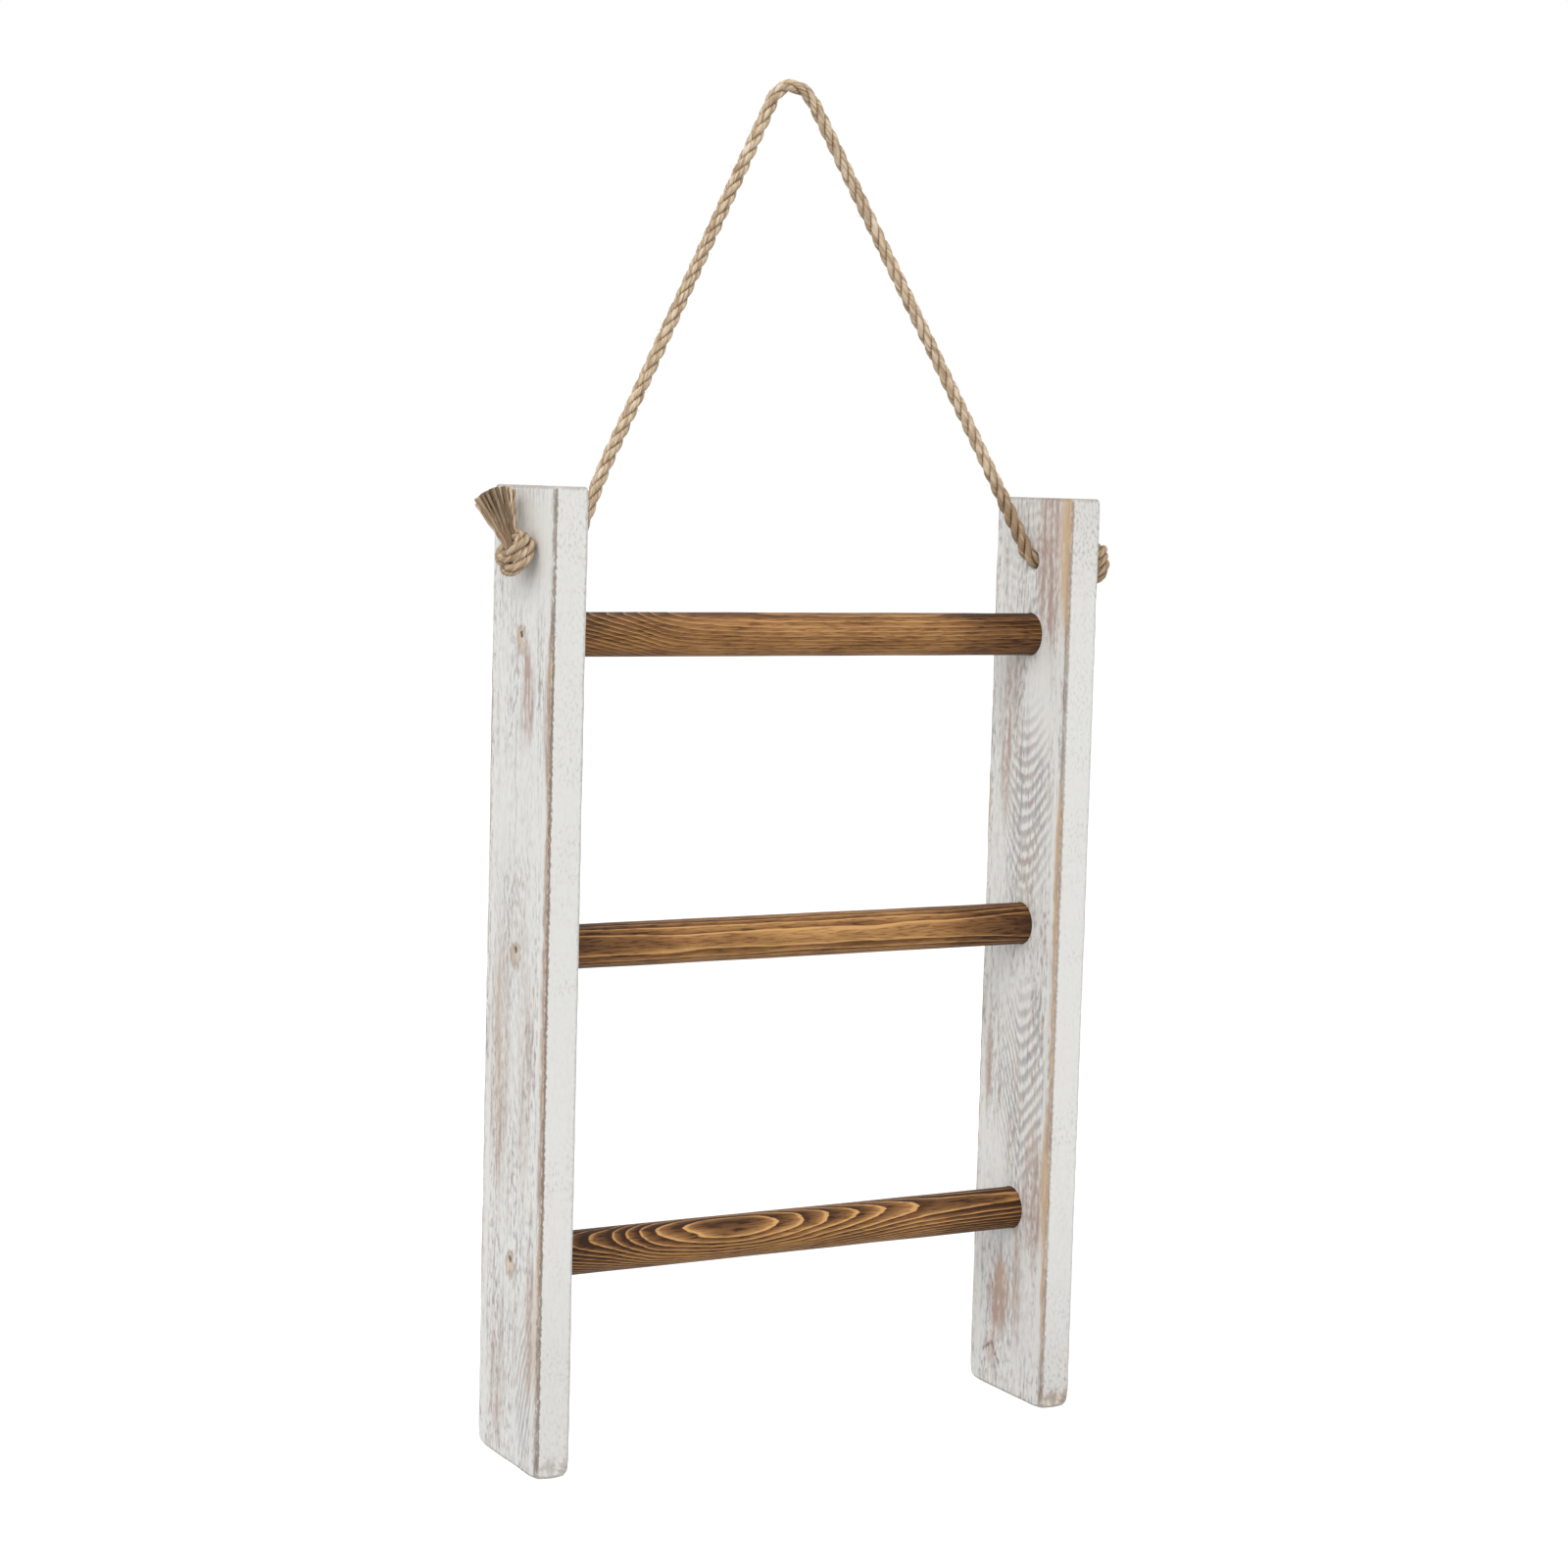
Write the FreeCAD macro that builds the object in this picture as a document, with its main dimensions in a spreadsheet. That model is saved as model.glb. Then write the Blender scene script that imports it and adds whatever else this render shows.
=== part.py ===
# Small wall-hung towel ladder: two flat rails, three round rungs nailed between them,
# and one rope that is knotted outside each rail and hangs over a wall hook.
# Millimetres. +X right, +Y towards the wall, +Z up, origin on the hook's axis.
import FreeCAD
import Part
import Sketcher
import math
import os
from FreeCAD import Placement, Rotation, Vector

SIZES = {
    # Rails: two alike boards on edge, as far apart as the ladder is wide
    "ladder_width": 279.0,
    "rail_height": 432.0,
    "rail_depth": 63.5,
    "rail_thickness": 16.0,
    "rail_edge_round": 1.6,
    "rail_end_round": 1.2,
    # Rungs: round bars seated in blind sockets
    "rung_diameter": 20.0,
    "bottom_rung_height": 91.5,
    "top_rung_below_hole": 34.5,
    "socket_depth": 10.0,
    "socket_clearance": 0.1,
    # Nails: one through each rail into each rung's end
    "nail_length": 32.0,
    "nail_shank_diameter": 1.8,
    "nail_head_diameter": 3.2,
    "nail_head_height": 1.2,
    "nail_point_length": 3.0,
    "nail_sunk_depth": 0.5,
    "nail_clearance": 0.05,
    # Rope and the holes that it runs through
    "rope_diameter": 6.4,
    "rope_hole_below_top": 30.0,
    "rope_hole_clearance": 0.4,
    "hole_mouth_round": 3.0,
    "mouth_corner_inset": 1.5,
    "mouth_bend_radius": 8.0,
    # Hook that the rope hangs over, and where the holes are from it
    "hook_diameter": 17.6,
    "hang_drop": 201.0,
    "hang_lean": 23.0,
    # Knots outside the rails, each with its frayed tail
    "knot_seat_gap": 0.3,
    "knot_thickness": 15.0,
    "knot_width": 23.0,
    "knot_height": 18.6,
    "knot_forward": 8.5,
    "tail_root_diameter": 7.0,
    "tail_tip_diameter": 17.0,
    "tail_reach_out": 4.7,
    "tail_reach_back": 14.0,
    "tail_reach_along": 25.5,
}

RUNGS = ("bottom", "middle", "top")
SIDES = ("left", "right")
HALF_TURN = 180.0
QUARTER_TURN = 90.0
# How near to its expected place an edge has to be to be picked for rounding
PICK_TOLERANCE = 1e-3

doc = FreeCAD.newDocument("towel_ladder")
nodes = []


def make_sheet():
    sheet = doc.addObject("Spreadsheet::Sheet", "Sizes")
    for row, (name, value) in enumerate(SIZES.items(), start=1):
        sheet.set(f"A{row}", name)
        sheet.set(f"B{row}", str(value))
        sheet.setAlias(f"B{row}", name)
    doc.recompute()
    return sheet


sheet = make_sheet()


def size(name):
    return float(sheet.get(name))


def formula(text):
    """Turns the size names in a sum into references to the sheet's cells."""
    words = []
    for word in text.split():
        words.append(f"Sizes.{word}" if word in SIZES else word)
    return " ".join(words)


def bind(obj, **sums):
    for prop, text in sums.items():
        obj.setExpression(prop.replace("__", "."), formula(text))


# Sums that place pieces, written once and used by every piece that they concern
RAIL_OUTER_X = "ladder_width / 2"
RAIL_INNER_X = "( ladder_width / 2 - rail_thickness )"
MID_DEPTH_Y = "- hang_lean"
HOLE_HEIGHT = "( rail_height - rope_hole_below_top )"
FOOT_Z = f"( - hang_drop - {HOLE_HEIGHT} )"
RUNG_PITCH = f"( {HOLE_HEIGHT} - top_rung_below_hole - bottom_rung_height ) / {len(RUNGS) - 1}"
ROPE_HOLE_RADIUS = "rope_diameter / 2 + rope_hole_clearance"
NAIL_HOLE_RADIUS = "nail_shank_diameter / 2 + nail_clearance"


def rung_height(index):
    return f"( bottom_rung_height + {index} * {RUNG_PITCH} )"


def keep(obj, label):
    obj.Label = label
    nodes.append(obj)
    return obj


def place(obj, x, y, z, turn=None):
    """Places a piece by sums of sizes, turned by an axis and an angle."""
    if turn:
        obj.Placement = Placement(Vector(), Rotation(*turn))
    bind(obj, Placement__Base__x=x, Placement__Base__y=y, Placement__Base__z=z)


TURN_ABOUT_Z = (Vector(0, 0, 1), HALF_TURN)
TURN_ABOUT_Y = (Vector(0, 1, 0), HALF_TURN)


def sketch_on(body, role, name):
    sketch = body.newObject("Sketcher::SketchObject", name)
    origin_plane = [f for f in body.Origin.OriginFeatures if f.Role == role][0]
    sketch.AttachmentSupport = (origin_plane, [""])
    sketch.MapMode = "FlatFace"
    return sketch


def drive(sketch, name, text, kind, *what):
    """Adds a dimension to a sketch, of a kind between what it names, tied to a sum of sizes."""
    index = sketch.addConstraint(Sketcher.Constraint(kind, *what))
    sketch.renameConstraint(index, name)
    sketch.setExpression(f"Constraints.{name}", formula(text))


def outline(sketch, points):
    """Draws a closed outline of straight lines, upright or level where its points are."""
    corners = [Vector(x, y, 0) for x, y in points]
    count = len(corners)
    for i, start in enumerate(corners):
        end = corners[(i + 1) % count]
        sketch.addGeometry(Part.LineSegment(start, end), False)
    for i in range(count):
        sketch.addConstraint(Sketcher.Constraint("Coincident", i, 2, (i + 1) % count, 1))
    for i, start in enumerate(corners):
        end = corners[(i + 1) % count]
        if start.x == end.x:
            sketch.addConstraint(Sketcher.Constraint("Vertical", i))
        elif start.y == end.y:
            sketch.addConstraint(Sketcher.Constraint("Horizontal", i))


def circles(sketch, heights, radius):
    """Draws one circle at each height on the sketch's upright axis."""
    start_radius = size("rope_diameter")
    for i, height in enumerate(heights):
        start = Vector(0, (i + 1) * start_radius, 0)
        sketch.addGeometry(Part.Circle(start, Vector(0, 0, 1), start_radius), False)
        sketch.addConstraint(Sketcher.Constraint("PointOnObject", i, 3, -2))
        drive(sketch, f"height_{i}", height, "DistanceY", -1, 1, i, 3, start.y)
        drive(sketch, f"radius_{i}", radius, "Radius", i, start_radius)


def pocket(body, sketch, name, depth=None, reverse=False):
    """Cuts a sketch into a body, to a depth or right through, and tests that it cut."""
    doc.recompute()
    volume_before = body.Shape.Volume
    cut = body.newObject("PartDesign::Pocket", name)
    cut.Profile = sketch
    cut.Reversed = reverse
    if depth:
        cut.Type = "Length"
        bind(cut, Length=depth)
    else:
        cut.Type = "ThroughAll"
    doc.recompute()
    if body.Shape.Volume >= volume_before:
        raise RuntimeError(f"{name} cut nothing")
    return cut


def round_edges(body, name, radius, wanted):
    """Rounds the edges of a body's present shape that the test picks."""
    doc.recompute()
    base = body.Tip
    picked = [f"Edge{i}" for i, e in enumerate(base.Shape.Edges, start=1) if wanted(e)]
    if not picked:
        raise RuntimeError(f"{name} found no edge")
    fillet = body.newObject("PartDesign::Fillet", name)
    fillet.Base = (base, picked)
    bind(fillet, Radius=radius)
    doc.recompute()


def is_upright(edge):
    ends = [v.Point for v in edge.Vertexes]
    level = len(ends) == 2 and abs(ends[0].z - ends[1].z) < PICK_TOLERANCE
    return not level


def is_at_an_end(edge):
    box = edge.BoundBox
    at_foot = abs(box.ZMax) < PICK_TOLERANCE
    at_top = abs(box.ZMin - size("rail_height")) < PICK_TOLERANCE
    return at_foot or at_top


def is_rope_hole_mouth(edge):
    if not isinstance(edge.Curve, Part.Circle):
        return False
    height = size("rail_height") - size("rope_hole_below_top")
    return abs(edge.Curve.Center.z - height) < PICK_TOLERANCE


def make_rail(side):
    """A rail from its inner face, at x = 0, outwards, and from its foot up."""
    body = keep(doc.addObject("PartDesign::Body", f"{side}_rail"), f"{side}_rail")
    board = sketch_on(body, "XY_Plane", f"{side}_board_outline")
    thick = size("rail_thickness")
    half_deep = size("rail_depth") / 2
    outline(board, [(0, -half_deep), (thick, -half_deep), (thick, half_deep), (0, half_deep)])
    board.addConstraint(Sketcher.Constraint("PointOnObject", 3, 2, -2))
    drive(board, "thickness", "rail_thickness", "DistanceX", 0, 1, 0, 2, thick)
    drive(board, "depth", "rail_depth", "DistanceY", 1, 1, 1, 2, 2 * half_deep)
    drive(board, "half_depth", "rail_depth / 2", "DistanceY", -1, 1, 1, 2, half_deep)
    pad = body.newObject("PartDesign::Pad", f"{side}_board")
    pad.Profile = board
    bind(pad, Length="rail_height")
    round_edges(body, f"{side}_long_edges", "rail_edge_round", is_upright)
    round_edges(body, f"{side}_end_edges", "rail_end_round", is_at_an_end)

    rung_heights = [rung_height(i) for i in range(len(RUNGS))]
    sockets = sketch_on(body, "YZ_Plane", f"{side}_socket_circles")
    circles(sockets, rung_heights, "rung_diameter / 2 + socket_clearance")
    pocket(body, sockets, f"{side}_sockets", "socket_depth", reverse=True)

    shanks = sketch_on(body, "YZ_Plane", f"{side}_nail_circles")
    circles(shanks, rung_heights, NAIL_HOLE_RADIUS)
    pocket(body, shanks, f"{side}_nail_holes", reverse=True)

    heads = sketch_on(body, "YZ_Plane", f"{side}_nail_head_circles")
    bind(heads, AttachmentOffset__Base__z="rail_thickness")
    circles(heads, rung_heights, "nail_head_diameter / 2 + nail_clearance")
    pocket(body, heads, f"{side}_nail_head_seats", "nail_sunk_depth + nail_head_height")

    rope_hole = sketch_on(body, "YZ_Plane", f"{side}_rope_hole_circle")
    circles(rope_hole, [HOLE_HEIGHT], ROPE_HOLE_RADIUS)
    pocket(body, rope_hole, f"{side}_rope_hole", reverse=True)
    round_edges(body, f"{side}_rope_hole_mouths", "hole_mouth_round", is_rope_hole_mouth)

    if side == "left":
        place(body, f"- {RAIL_INNER_X}", MID_DEPTH_Y, FOOT_Z, TURN_ABOUT_Z)
    else:
        place(body, RAIL_INNER_X, MID_DEPTH_Y, FOOT_Z)


def make_bar(name, radius, length, start_x):
    """A cylinder along X from a start, for a rung, a hole or a rope's stub."""
    bar = doc.addObject("Part::Cylinder", name)
    bar.Placement = Placement(Vector(), Rotation(Vector(0, 1, 0), QUARTER_TURN))
    bind(bar, Radius=radius, Height=length, Placement__Base__x=start_x)
    return bar


def make_rung(index):
    """A rung along X, centred, with a hole in each end where the nail goes in."""
    name = f"{RUNGS[index]}_rung"
    half = f"( {RAIL_INNER_X} + socket_depth )"
    dowel = make_bar(f"{name}_bar", "rung_diameter / 2", f"2 * {half}", f"- {half}")
    nail_reach = "( nail_length + nail_sunk_depth - rail_thickness + socket_depth )"
    starts = {"left": f"- {half}", "right": f"{half} - {nail_reach}"}
    holes = []
    for side, start in starts.items():
        holes.append(make_bar(f"{name}_{side}_hole", NAIL_HOLE_RADIUS, nail_reach, start))
    both = doc.addObject("Part::MultiFuse", f"{name}_holes")
    both.Shapes = holes
    rung = keep(doc.addObject("Part::Cut", name), name)
    rung.Base = dowel
    rung.Tool = both
    place(rung, "0", MID_DEPTH_Y, f"{FOOT_Z} + {rung_height(index)}")


def make_nail(side, index):
    """A wire nail along X, from the flat of its head to its point."""
    name = f"{side}_{RUNGS[index]}_nail"
    body = keep(doc.addObject("PartDesign::Body", name), name)
    profile = sketch_on(body, "XY_Plane", f"{name}_profile")
    head_radius = size("nail_head_diameter") / 2
    shank_radius = size("nail_shank_diameter") / 2
    head_end = size("nail_head_height")
    tip = size("nail_length")
    point_start = tip - size("nail_point_length")
    outline(profile, [(0, 0), (0, head_radius), (head_end, head_radius), (head_end, shank_radius),
                      (point_start, shank_radius), (tip, 0)])
    profile.addConstraint(Sketcher.Constraint("Coincident", 0, 1, -1, 1))
    drive(profile, "head", "nail_head_diameter / 2", "DistanceY", -1, 1, 1, 1, head_radius)
    drive(profile, "head_end", "nail_head_height", "DistanceX", -1, 1, 2, 1, head_end)
    drive(profile, "shank", "nail_shank_diameter / 2", "DistanceY", -1, 1, 3, 1, shank_radius)
    drive(profile, "tip", "nail_length", "DistanceX", -1, 1, 5, 1, tip)
    drive(profile, "point_start", "nail_length - nail_point_length",
          "DistanceX", -1, 1, 4, 1, point_start)
    turned = body.newObject("PartDesign::Revolution", f"{name}_turned")
    turned.Profile = profile
    turned.ReferenceAxis = (profile, ["H_Axis"])
    turned.Angle = 2 * HALF_TURN
    z = f"{FOOT_Z} + {rung_height(index)}"
    if side == "left":
        place(body, f"- {RAIL_OUTER_X} + nail_sunk_depth", MID_DEPTH_Y, z)
    else:
        place(body, f"{RAIL_OUTER_X} - nail_sunk_depth", MID_DEPTH_Y, z, TURN_ABOUT_Z)


def make_knot(side):
    """A knot outside a rail, from the rail's outer face outwards, with its frayed tail."""
    name = f"{side}_knot"
    ball = doc.addObject("Part::Ellipsoid", f"{name}_ball")
    middle_x = "knot_seat_gap + knot_thickness / 2"
    bind(ball, Radius1="knot_height / 2", Radius2="knot_thickness / 2", Radius3="knot_width / 2",
         Placement__Base__x=middle_x, Placement__Base__y="- knot_forward")
    stub = make_bar(f"{name}_stub", "rope_diameter / 2", "knot_thickness / 2", "knot_seat_gap")
    tail = doc.addObject("Part::Cone", f"{name}_tail")
    reach = Vector(size("tail_reach_out"), size("tail_reach_back"), -size("tail_reach_along"))
    tail.Placement = Placement(Vector(), Rotation(Vector(0, 0, 1), reach))
    bind(tail, Radius1="tail_root_diameter / 2", Radius2="tail_tip_diameter / 2",
         Height="sqrt( tail_reach_out ^ 2 + tail_reach_back ^ 2 + tail_reach_along ^ 2 )",
         Placement__Base__x=middle_x, Placement__Base__y="- knot_forward")
    knot = keep(doc.addObject("Part::MultiFuse", name), name)
    knot.Shapes = [ball, stub, tail]
    if side == "left":
        place(knot, f"- {RAIL_OUTER_X}", MID_DEPTH_Y, "- hang_drop", TURN_ABOUT_Y)
    else:
        place(knot, RAIL_OUTER_X, MID_DEPTH_Y, "- hang_drop")


def rope_route():
    """The rope's points from the left knot over the hook to the right knot, with each bend's radius."""
    rope_radius = size("rope_diameter") / 2
    outer_x = size("ladder_width") / 2
    end_x = outer_x + size("knot_seat_gap")
    mouth_x = outer_x - size("rail_thickness") - size("mouth_corner_inset")
    hole = Vector(0, -size("hang_lean"), -size("hang_drop"))
    climb = hole.Length
    bend = size("hook_diameter") / 2 + rope_radius
    # Each leg leaves its hole at this angle above level and just touches the hook's bend
    leg_angle = math.atan2(climb, mouth_x) + math.asin(bend / math.hypot(climb, mouth_x))
    up = -hole / climb
    top = up * bend
    shoulder_x = bend * math.tan(leg_angle / 2)
    across = Vector(1, 0, 0)
    points = [
        hole - across * end_x,
        hole - across * mouth_x,
        top - across * shoulder_x,
        top + across * shoulder_x,
        hole + across * mouth_x,
        hole + across * end_x,
    ]
    mouth_bend = size("mouth_bend_radius")
    return points, [mouth_bend, bend, bend, mouth_bend]


def tangent_path(points, radii):
    """Straight runs joined by tangent arcs, one of the given radius at each inner point."""
    edges = []
    start = points[0]
    for before, corner, after, radius in zip(points, points[1:], points[2:], radii):
        back = (before - corner).normalize()
        ahead = (after - corner).normalize()
        turn = math.pi - back.getAngle(ahead)
        reach = radius * math.tan(turn / 2)
        inward = (back + ahead).normalize()
        middle = corner + inward * (radius / math.cos(turn / 2) - radius)
        arc_start = corner + back * reach
        arc_end = corner + ahead * reach
        if (arc_start - start).Length > PICK_TOLERANCE:
            edges.append(Part.LineSegment(start, arc_start).toShape())
        edges.append(Part.Arc(arc_start, middle, arc_end).toShape())
        print(f"rope bend of radius {radius:.1f} through {math.degrees(turn):.1f} degrees")
        start = arc_end
    edges.append(Part.LineSegment(start, points[-1]).toShape())
    return Part.Wire(edges)


def make_rope():
    points, radii = rope_route()
    path = tangent_path(points, radii)
    radius = size("rope_diameter") / 2
    section = Part.Wire(Part.makeCircle(radius, points[0], points[1] - points[0]))
    tube = path.makePipeShell([section], True, False)
    expected = math.pi * radius ** 2 * path.Length
    print(f"rope length {path.Length:.1f}, volume {tube.Volume:.1f}, section x length {expected:.1f}")
    rope = keep(doc.addObject("Part::Feature", "hanging_rope"), "hanging_rope")
    rope.Shape = tube
    rope.Placement = Placement()


def check_and_write():
    doc.recompute()
    for obj in doc.Objects:
        if "Invalid" in obj.State or "Error" in obj.State:
            raise RuntimeError(f"{obj.Label} failed: {obj.State}")
    for node in nodes:
        shape = node.Shape
        if shape.isNull() or not shape.isValid() or len(shape.Solids) != 1:
            raise RuntimeError(f"{node.Label} is not one valid solid")
    os.makedirs("parts", exist_ok=True)
    for node in nodes:
        node.Shape.exportStep(f"parts/{node.Label}.step")


for side in SIDES:
    make_rail(side)
for index in range(len(RUNGS)):
    make_rung(index)
for side in SIDES:
    for index in range(len(RUNGS)):
        make_nail(side, index)
for side in SIDES:
    make_knot(side)
make_rope()
check_and_write()
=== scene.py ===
"""Finish, rope and stage of a whitewashed towel ladder that hangs on a jute rope."""
import math

import bmesh
import bpy
from bpy.props import FloatProperty, FloatVectorProperty, IntProperty, PointerProperty
from bpy.types import Operator, Panel, PropertyGroup
from mathutils import Matrix, Vector, noise


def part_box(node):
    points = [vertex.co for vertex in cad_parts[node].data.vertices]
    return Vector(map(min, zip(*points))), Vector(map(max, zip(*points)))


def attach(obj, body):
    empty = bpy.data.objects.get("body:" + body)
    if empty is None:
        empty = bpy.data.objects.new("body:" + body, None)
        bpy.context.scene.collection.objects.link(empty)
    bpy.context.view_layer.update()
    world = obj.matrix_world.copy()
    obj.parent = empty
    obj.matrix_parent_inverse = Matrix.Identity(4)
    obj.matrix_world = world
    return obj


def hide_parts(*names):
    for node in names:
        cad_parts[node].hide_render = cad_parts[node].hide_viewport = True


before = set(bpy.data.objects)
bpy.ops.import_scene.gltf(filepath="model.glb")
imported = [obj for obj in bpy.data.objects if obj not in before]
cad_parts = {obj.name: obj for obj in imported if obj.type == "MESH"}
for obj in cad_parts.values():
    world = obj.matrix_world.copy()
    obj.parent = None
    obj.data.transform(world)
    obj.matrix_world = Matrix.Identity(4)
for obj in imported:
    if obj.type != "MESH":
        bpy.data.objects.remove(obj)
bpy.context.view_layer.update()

bl_info = {
    "name": "Towel ladder",
    "version": (1, 0, 0),
    "blender": (4, 5, 0),
    "location": "3D View > Sidebar > Towel ladder",
    "description": "Dresses a rope-hung towel ladder in whitewash, stain and jute",
    "category": "Object",
}

MM = 0.001
SIDES = ("left", "right")
RUNGS = ("bottom", "middle", "top")


# Sizes and colours that a user may change

def length(name, description, default):
    return FloatProperty(name=name, description=description, default=default, unit="LENGTH",
                         precision=5)


def colour(name, description, default):
    return FloatVectorProperty(name=name, description=description, default=default,
                               subtype="COLOR", min=0.0, max=1.0)


def amount(name, description, default):
    return FloatProperty(name=name, description=description, default=default)


def count(name, description, default):
    return IntProperty(name=name, description=description, default=default)


class RailSettings(PropertyGroup):
    """Shape and whitewash of the two rails."""
    grid: length("Grid", "Distance between the mesh's points along a rail's faces", 2.0 * MM)
    arris_round: length("Arris round", "Mean radius of the worn long edges", 1.2 * MM)
    top_round: length("Top round", "Radius of the corners at a rail's top", 2.0 * MM)
    foot_round: length("Foot round", "Radius of the corners at a rail's foot", 4.2 * MM)
    waviness: length("Waviness", "How far the planed faces stray from flat", 0.14 * MM)
    paint: colour("Paint", "Whitewash where it is whole", (0.80, 0.797, 0.765))
    thin_paint: colour("Thin paint", "Whitewash that the grain shows through", (0.40, 0.38, 0.385))
    pale_wood: colour("Pale wood", "Wood under a thin coat of paint", (0.46, 0.385, 0.34))
    pink_wood: colour("Pink wood", "Wood that a trace of paint is left on", (0.44, 0.32, 0.27))
    bare_wood: colour("Bare wood", "Wood where the paint is worn off", (0.60, 0.43, 0.265))
    old_wood: colour("Old wood", "Wood that wear and dirt have darkened", (0.22, 0.165, 0.125))


class RungSettings(PropertyGroup):
    """Shape and stain of the three rungs."""
    segments: count("Segments", "Faces round a rung", 48)
    grid: length("Grid", "Distance between the mesh's rings along a rung", 3.0 * MM)
    end_bevel: length("End bevel", "Bevel of a rung's hidden ends", 0.5 * MM)
    waviness: length("Waviness", "How far a rung strays from round", 0.12 * MM)
    dark_stain: colour("Dark stain", "Stain in the hard lines of the grain", (0.045, 0.017, 0.006))
    stain: colour("Stain", "Stain between the lines", (0.245, 0.112, 0.038))
    light_stain: colour("Light stain", "Stain on the soft lines of the grain", (0.64, 0.352, 0.13))


class RopeSettings(PropertyGroup):
    """Make and colour of the jute rope, its knots and their frayed tails."""
    diameter: length("Diameter", "Thickness of the rope", 6.4 * MM)
    strands: count("Strands", "Strands twisted into the rope", 3)
    strand_turn: length("Strand turn", "Length of rope in which a strand goes round once", 24.0 * MM)
    yarns: count("Yarns", "Yarns twisted into a strand", 7)
    yarn_turn: length("Yarn turn", "Length of strand in which a yarn goes round once", 15.0 * MM)
    step: length("Step", "Distance between the mesh's rings along a strand", 0.8 * MM)
    fibres: amount("Fibres", "Loose fibres on a square metre of strand", 26000.0)
    fibre_length: length("Fibre length", "Length of the longest loose fibre", 2.4 * MM)
    tail_yarns: count("Tail yarns", "Yarns in a frayed tail", 56)
    tail_yarn_radius: length("Tail yarn radius", "Radius of a frayed yarn", 0.95 * MM)
    straw: colour("Straw", "Jute in the light", (0.79, 0.645, 0.49))
    gold: colour("Gold", "Yellower fibres among the straw", (0.68, 0.535, 0.345))
    brown: colour("Brown", "Darker fibres among the straw", (0.36, 0.245, 0.15))
    # Painted shade: the colour the jute is given where shade falls, down between the strands and on the
    # tails' darker yarns
    shade: colour("Shade", "Jute down between the strands", (0.185, 0.122, 0.074))
    opening: amount("Opening", "Share by which the rope is thicker where its lay has opened", 0.5)
    opened_at: length("Opened at", "Distance along the rope of that place", 500.0 * MM)
    opened_reach: length("Opened reach", "Half the length of that place", 34.0 * MM)


class NailSettings(PropertyGroup):
    """Colour of the nails."""
    steel: colour("Steel", "Clean steel", (0.26, 0.25, 0.24))
    tarnish: colour("Tarnish", "Steel that has darkened", (0.05, 0.042, 0.036))


class StageSettings(PropertyGroup):
    """Floor, light and background."""
    floor_drop: length("Floor drop", "Height of the ladder's foot above the floor", 0.14)
    floor_size: length("Floor size", "Width of the floor", 24.0)
    floor: colour("Floor", "Colour of the floor", (0.5, 0.5, 0.5))
    key: amount("Key light", "Strength of the light from the front left", 1.25)
    fill: amount("Fill light", "Strength of the light from the front right", 0.25)
    sky: amount("Sky light", "Strength of the light from all round", 0.85)


class LadderSettings(PropertyGroup):
    """All that can be set on the towel ladder."""
    rails: PointerProperty(type=RailSettings)
    rungs: PointerProperty(type=RungSettings)
    nails: PointerProperty(type=NailSettings)
    rope: PointerProperty(type=RopeSettings)
    stage: PointerProperty(type=StageSettings)


# Node trees written as sums

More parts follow.
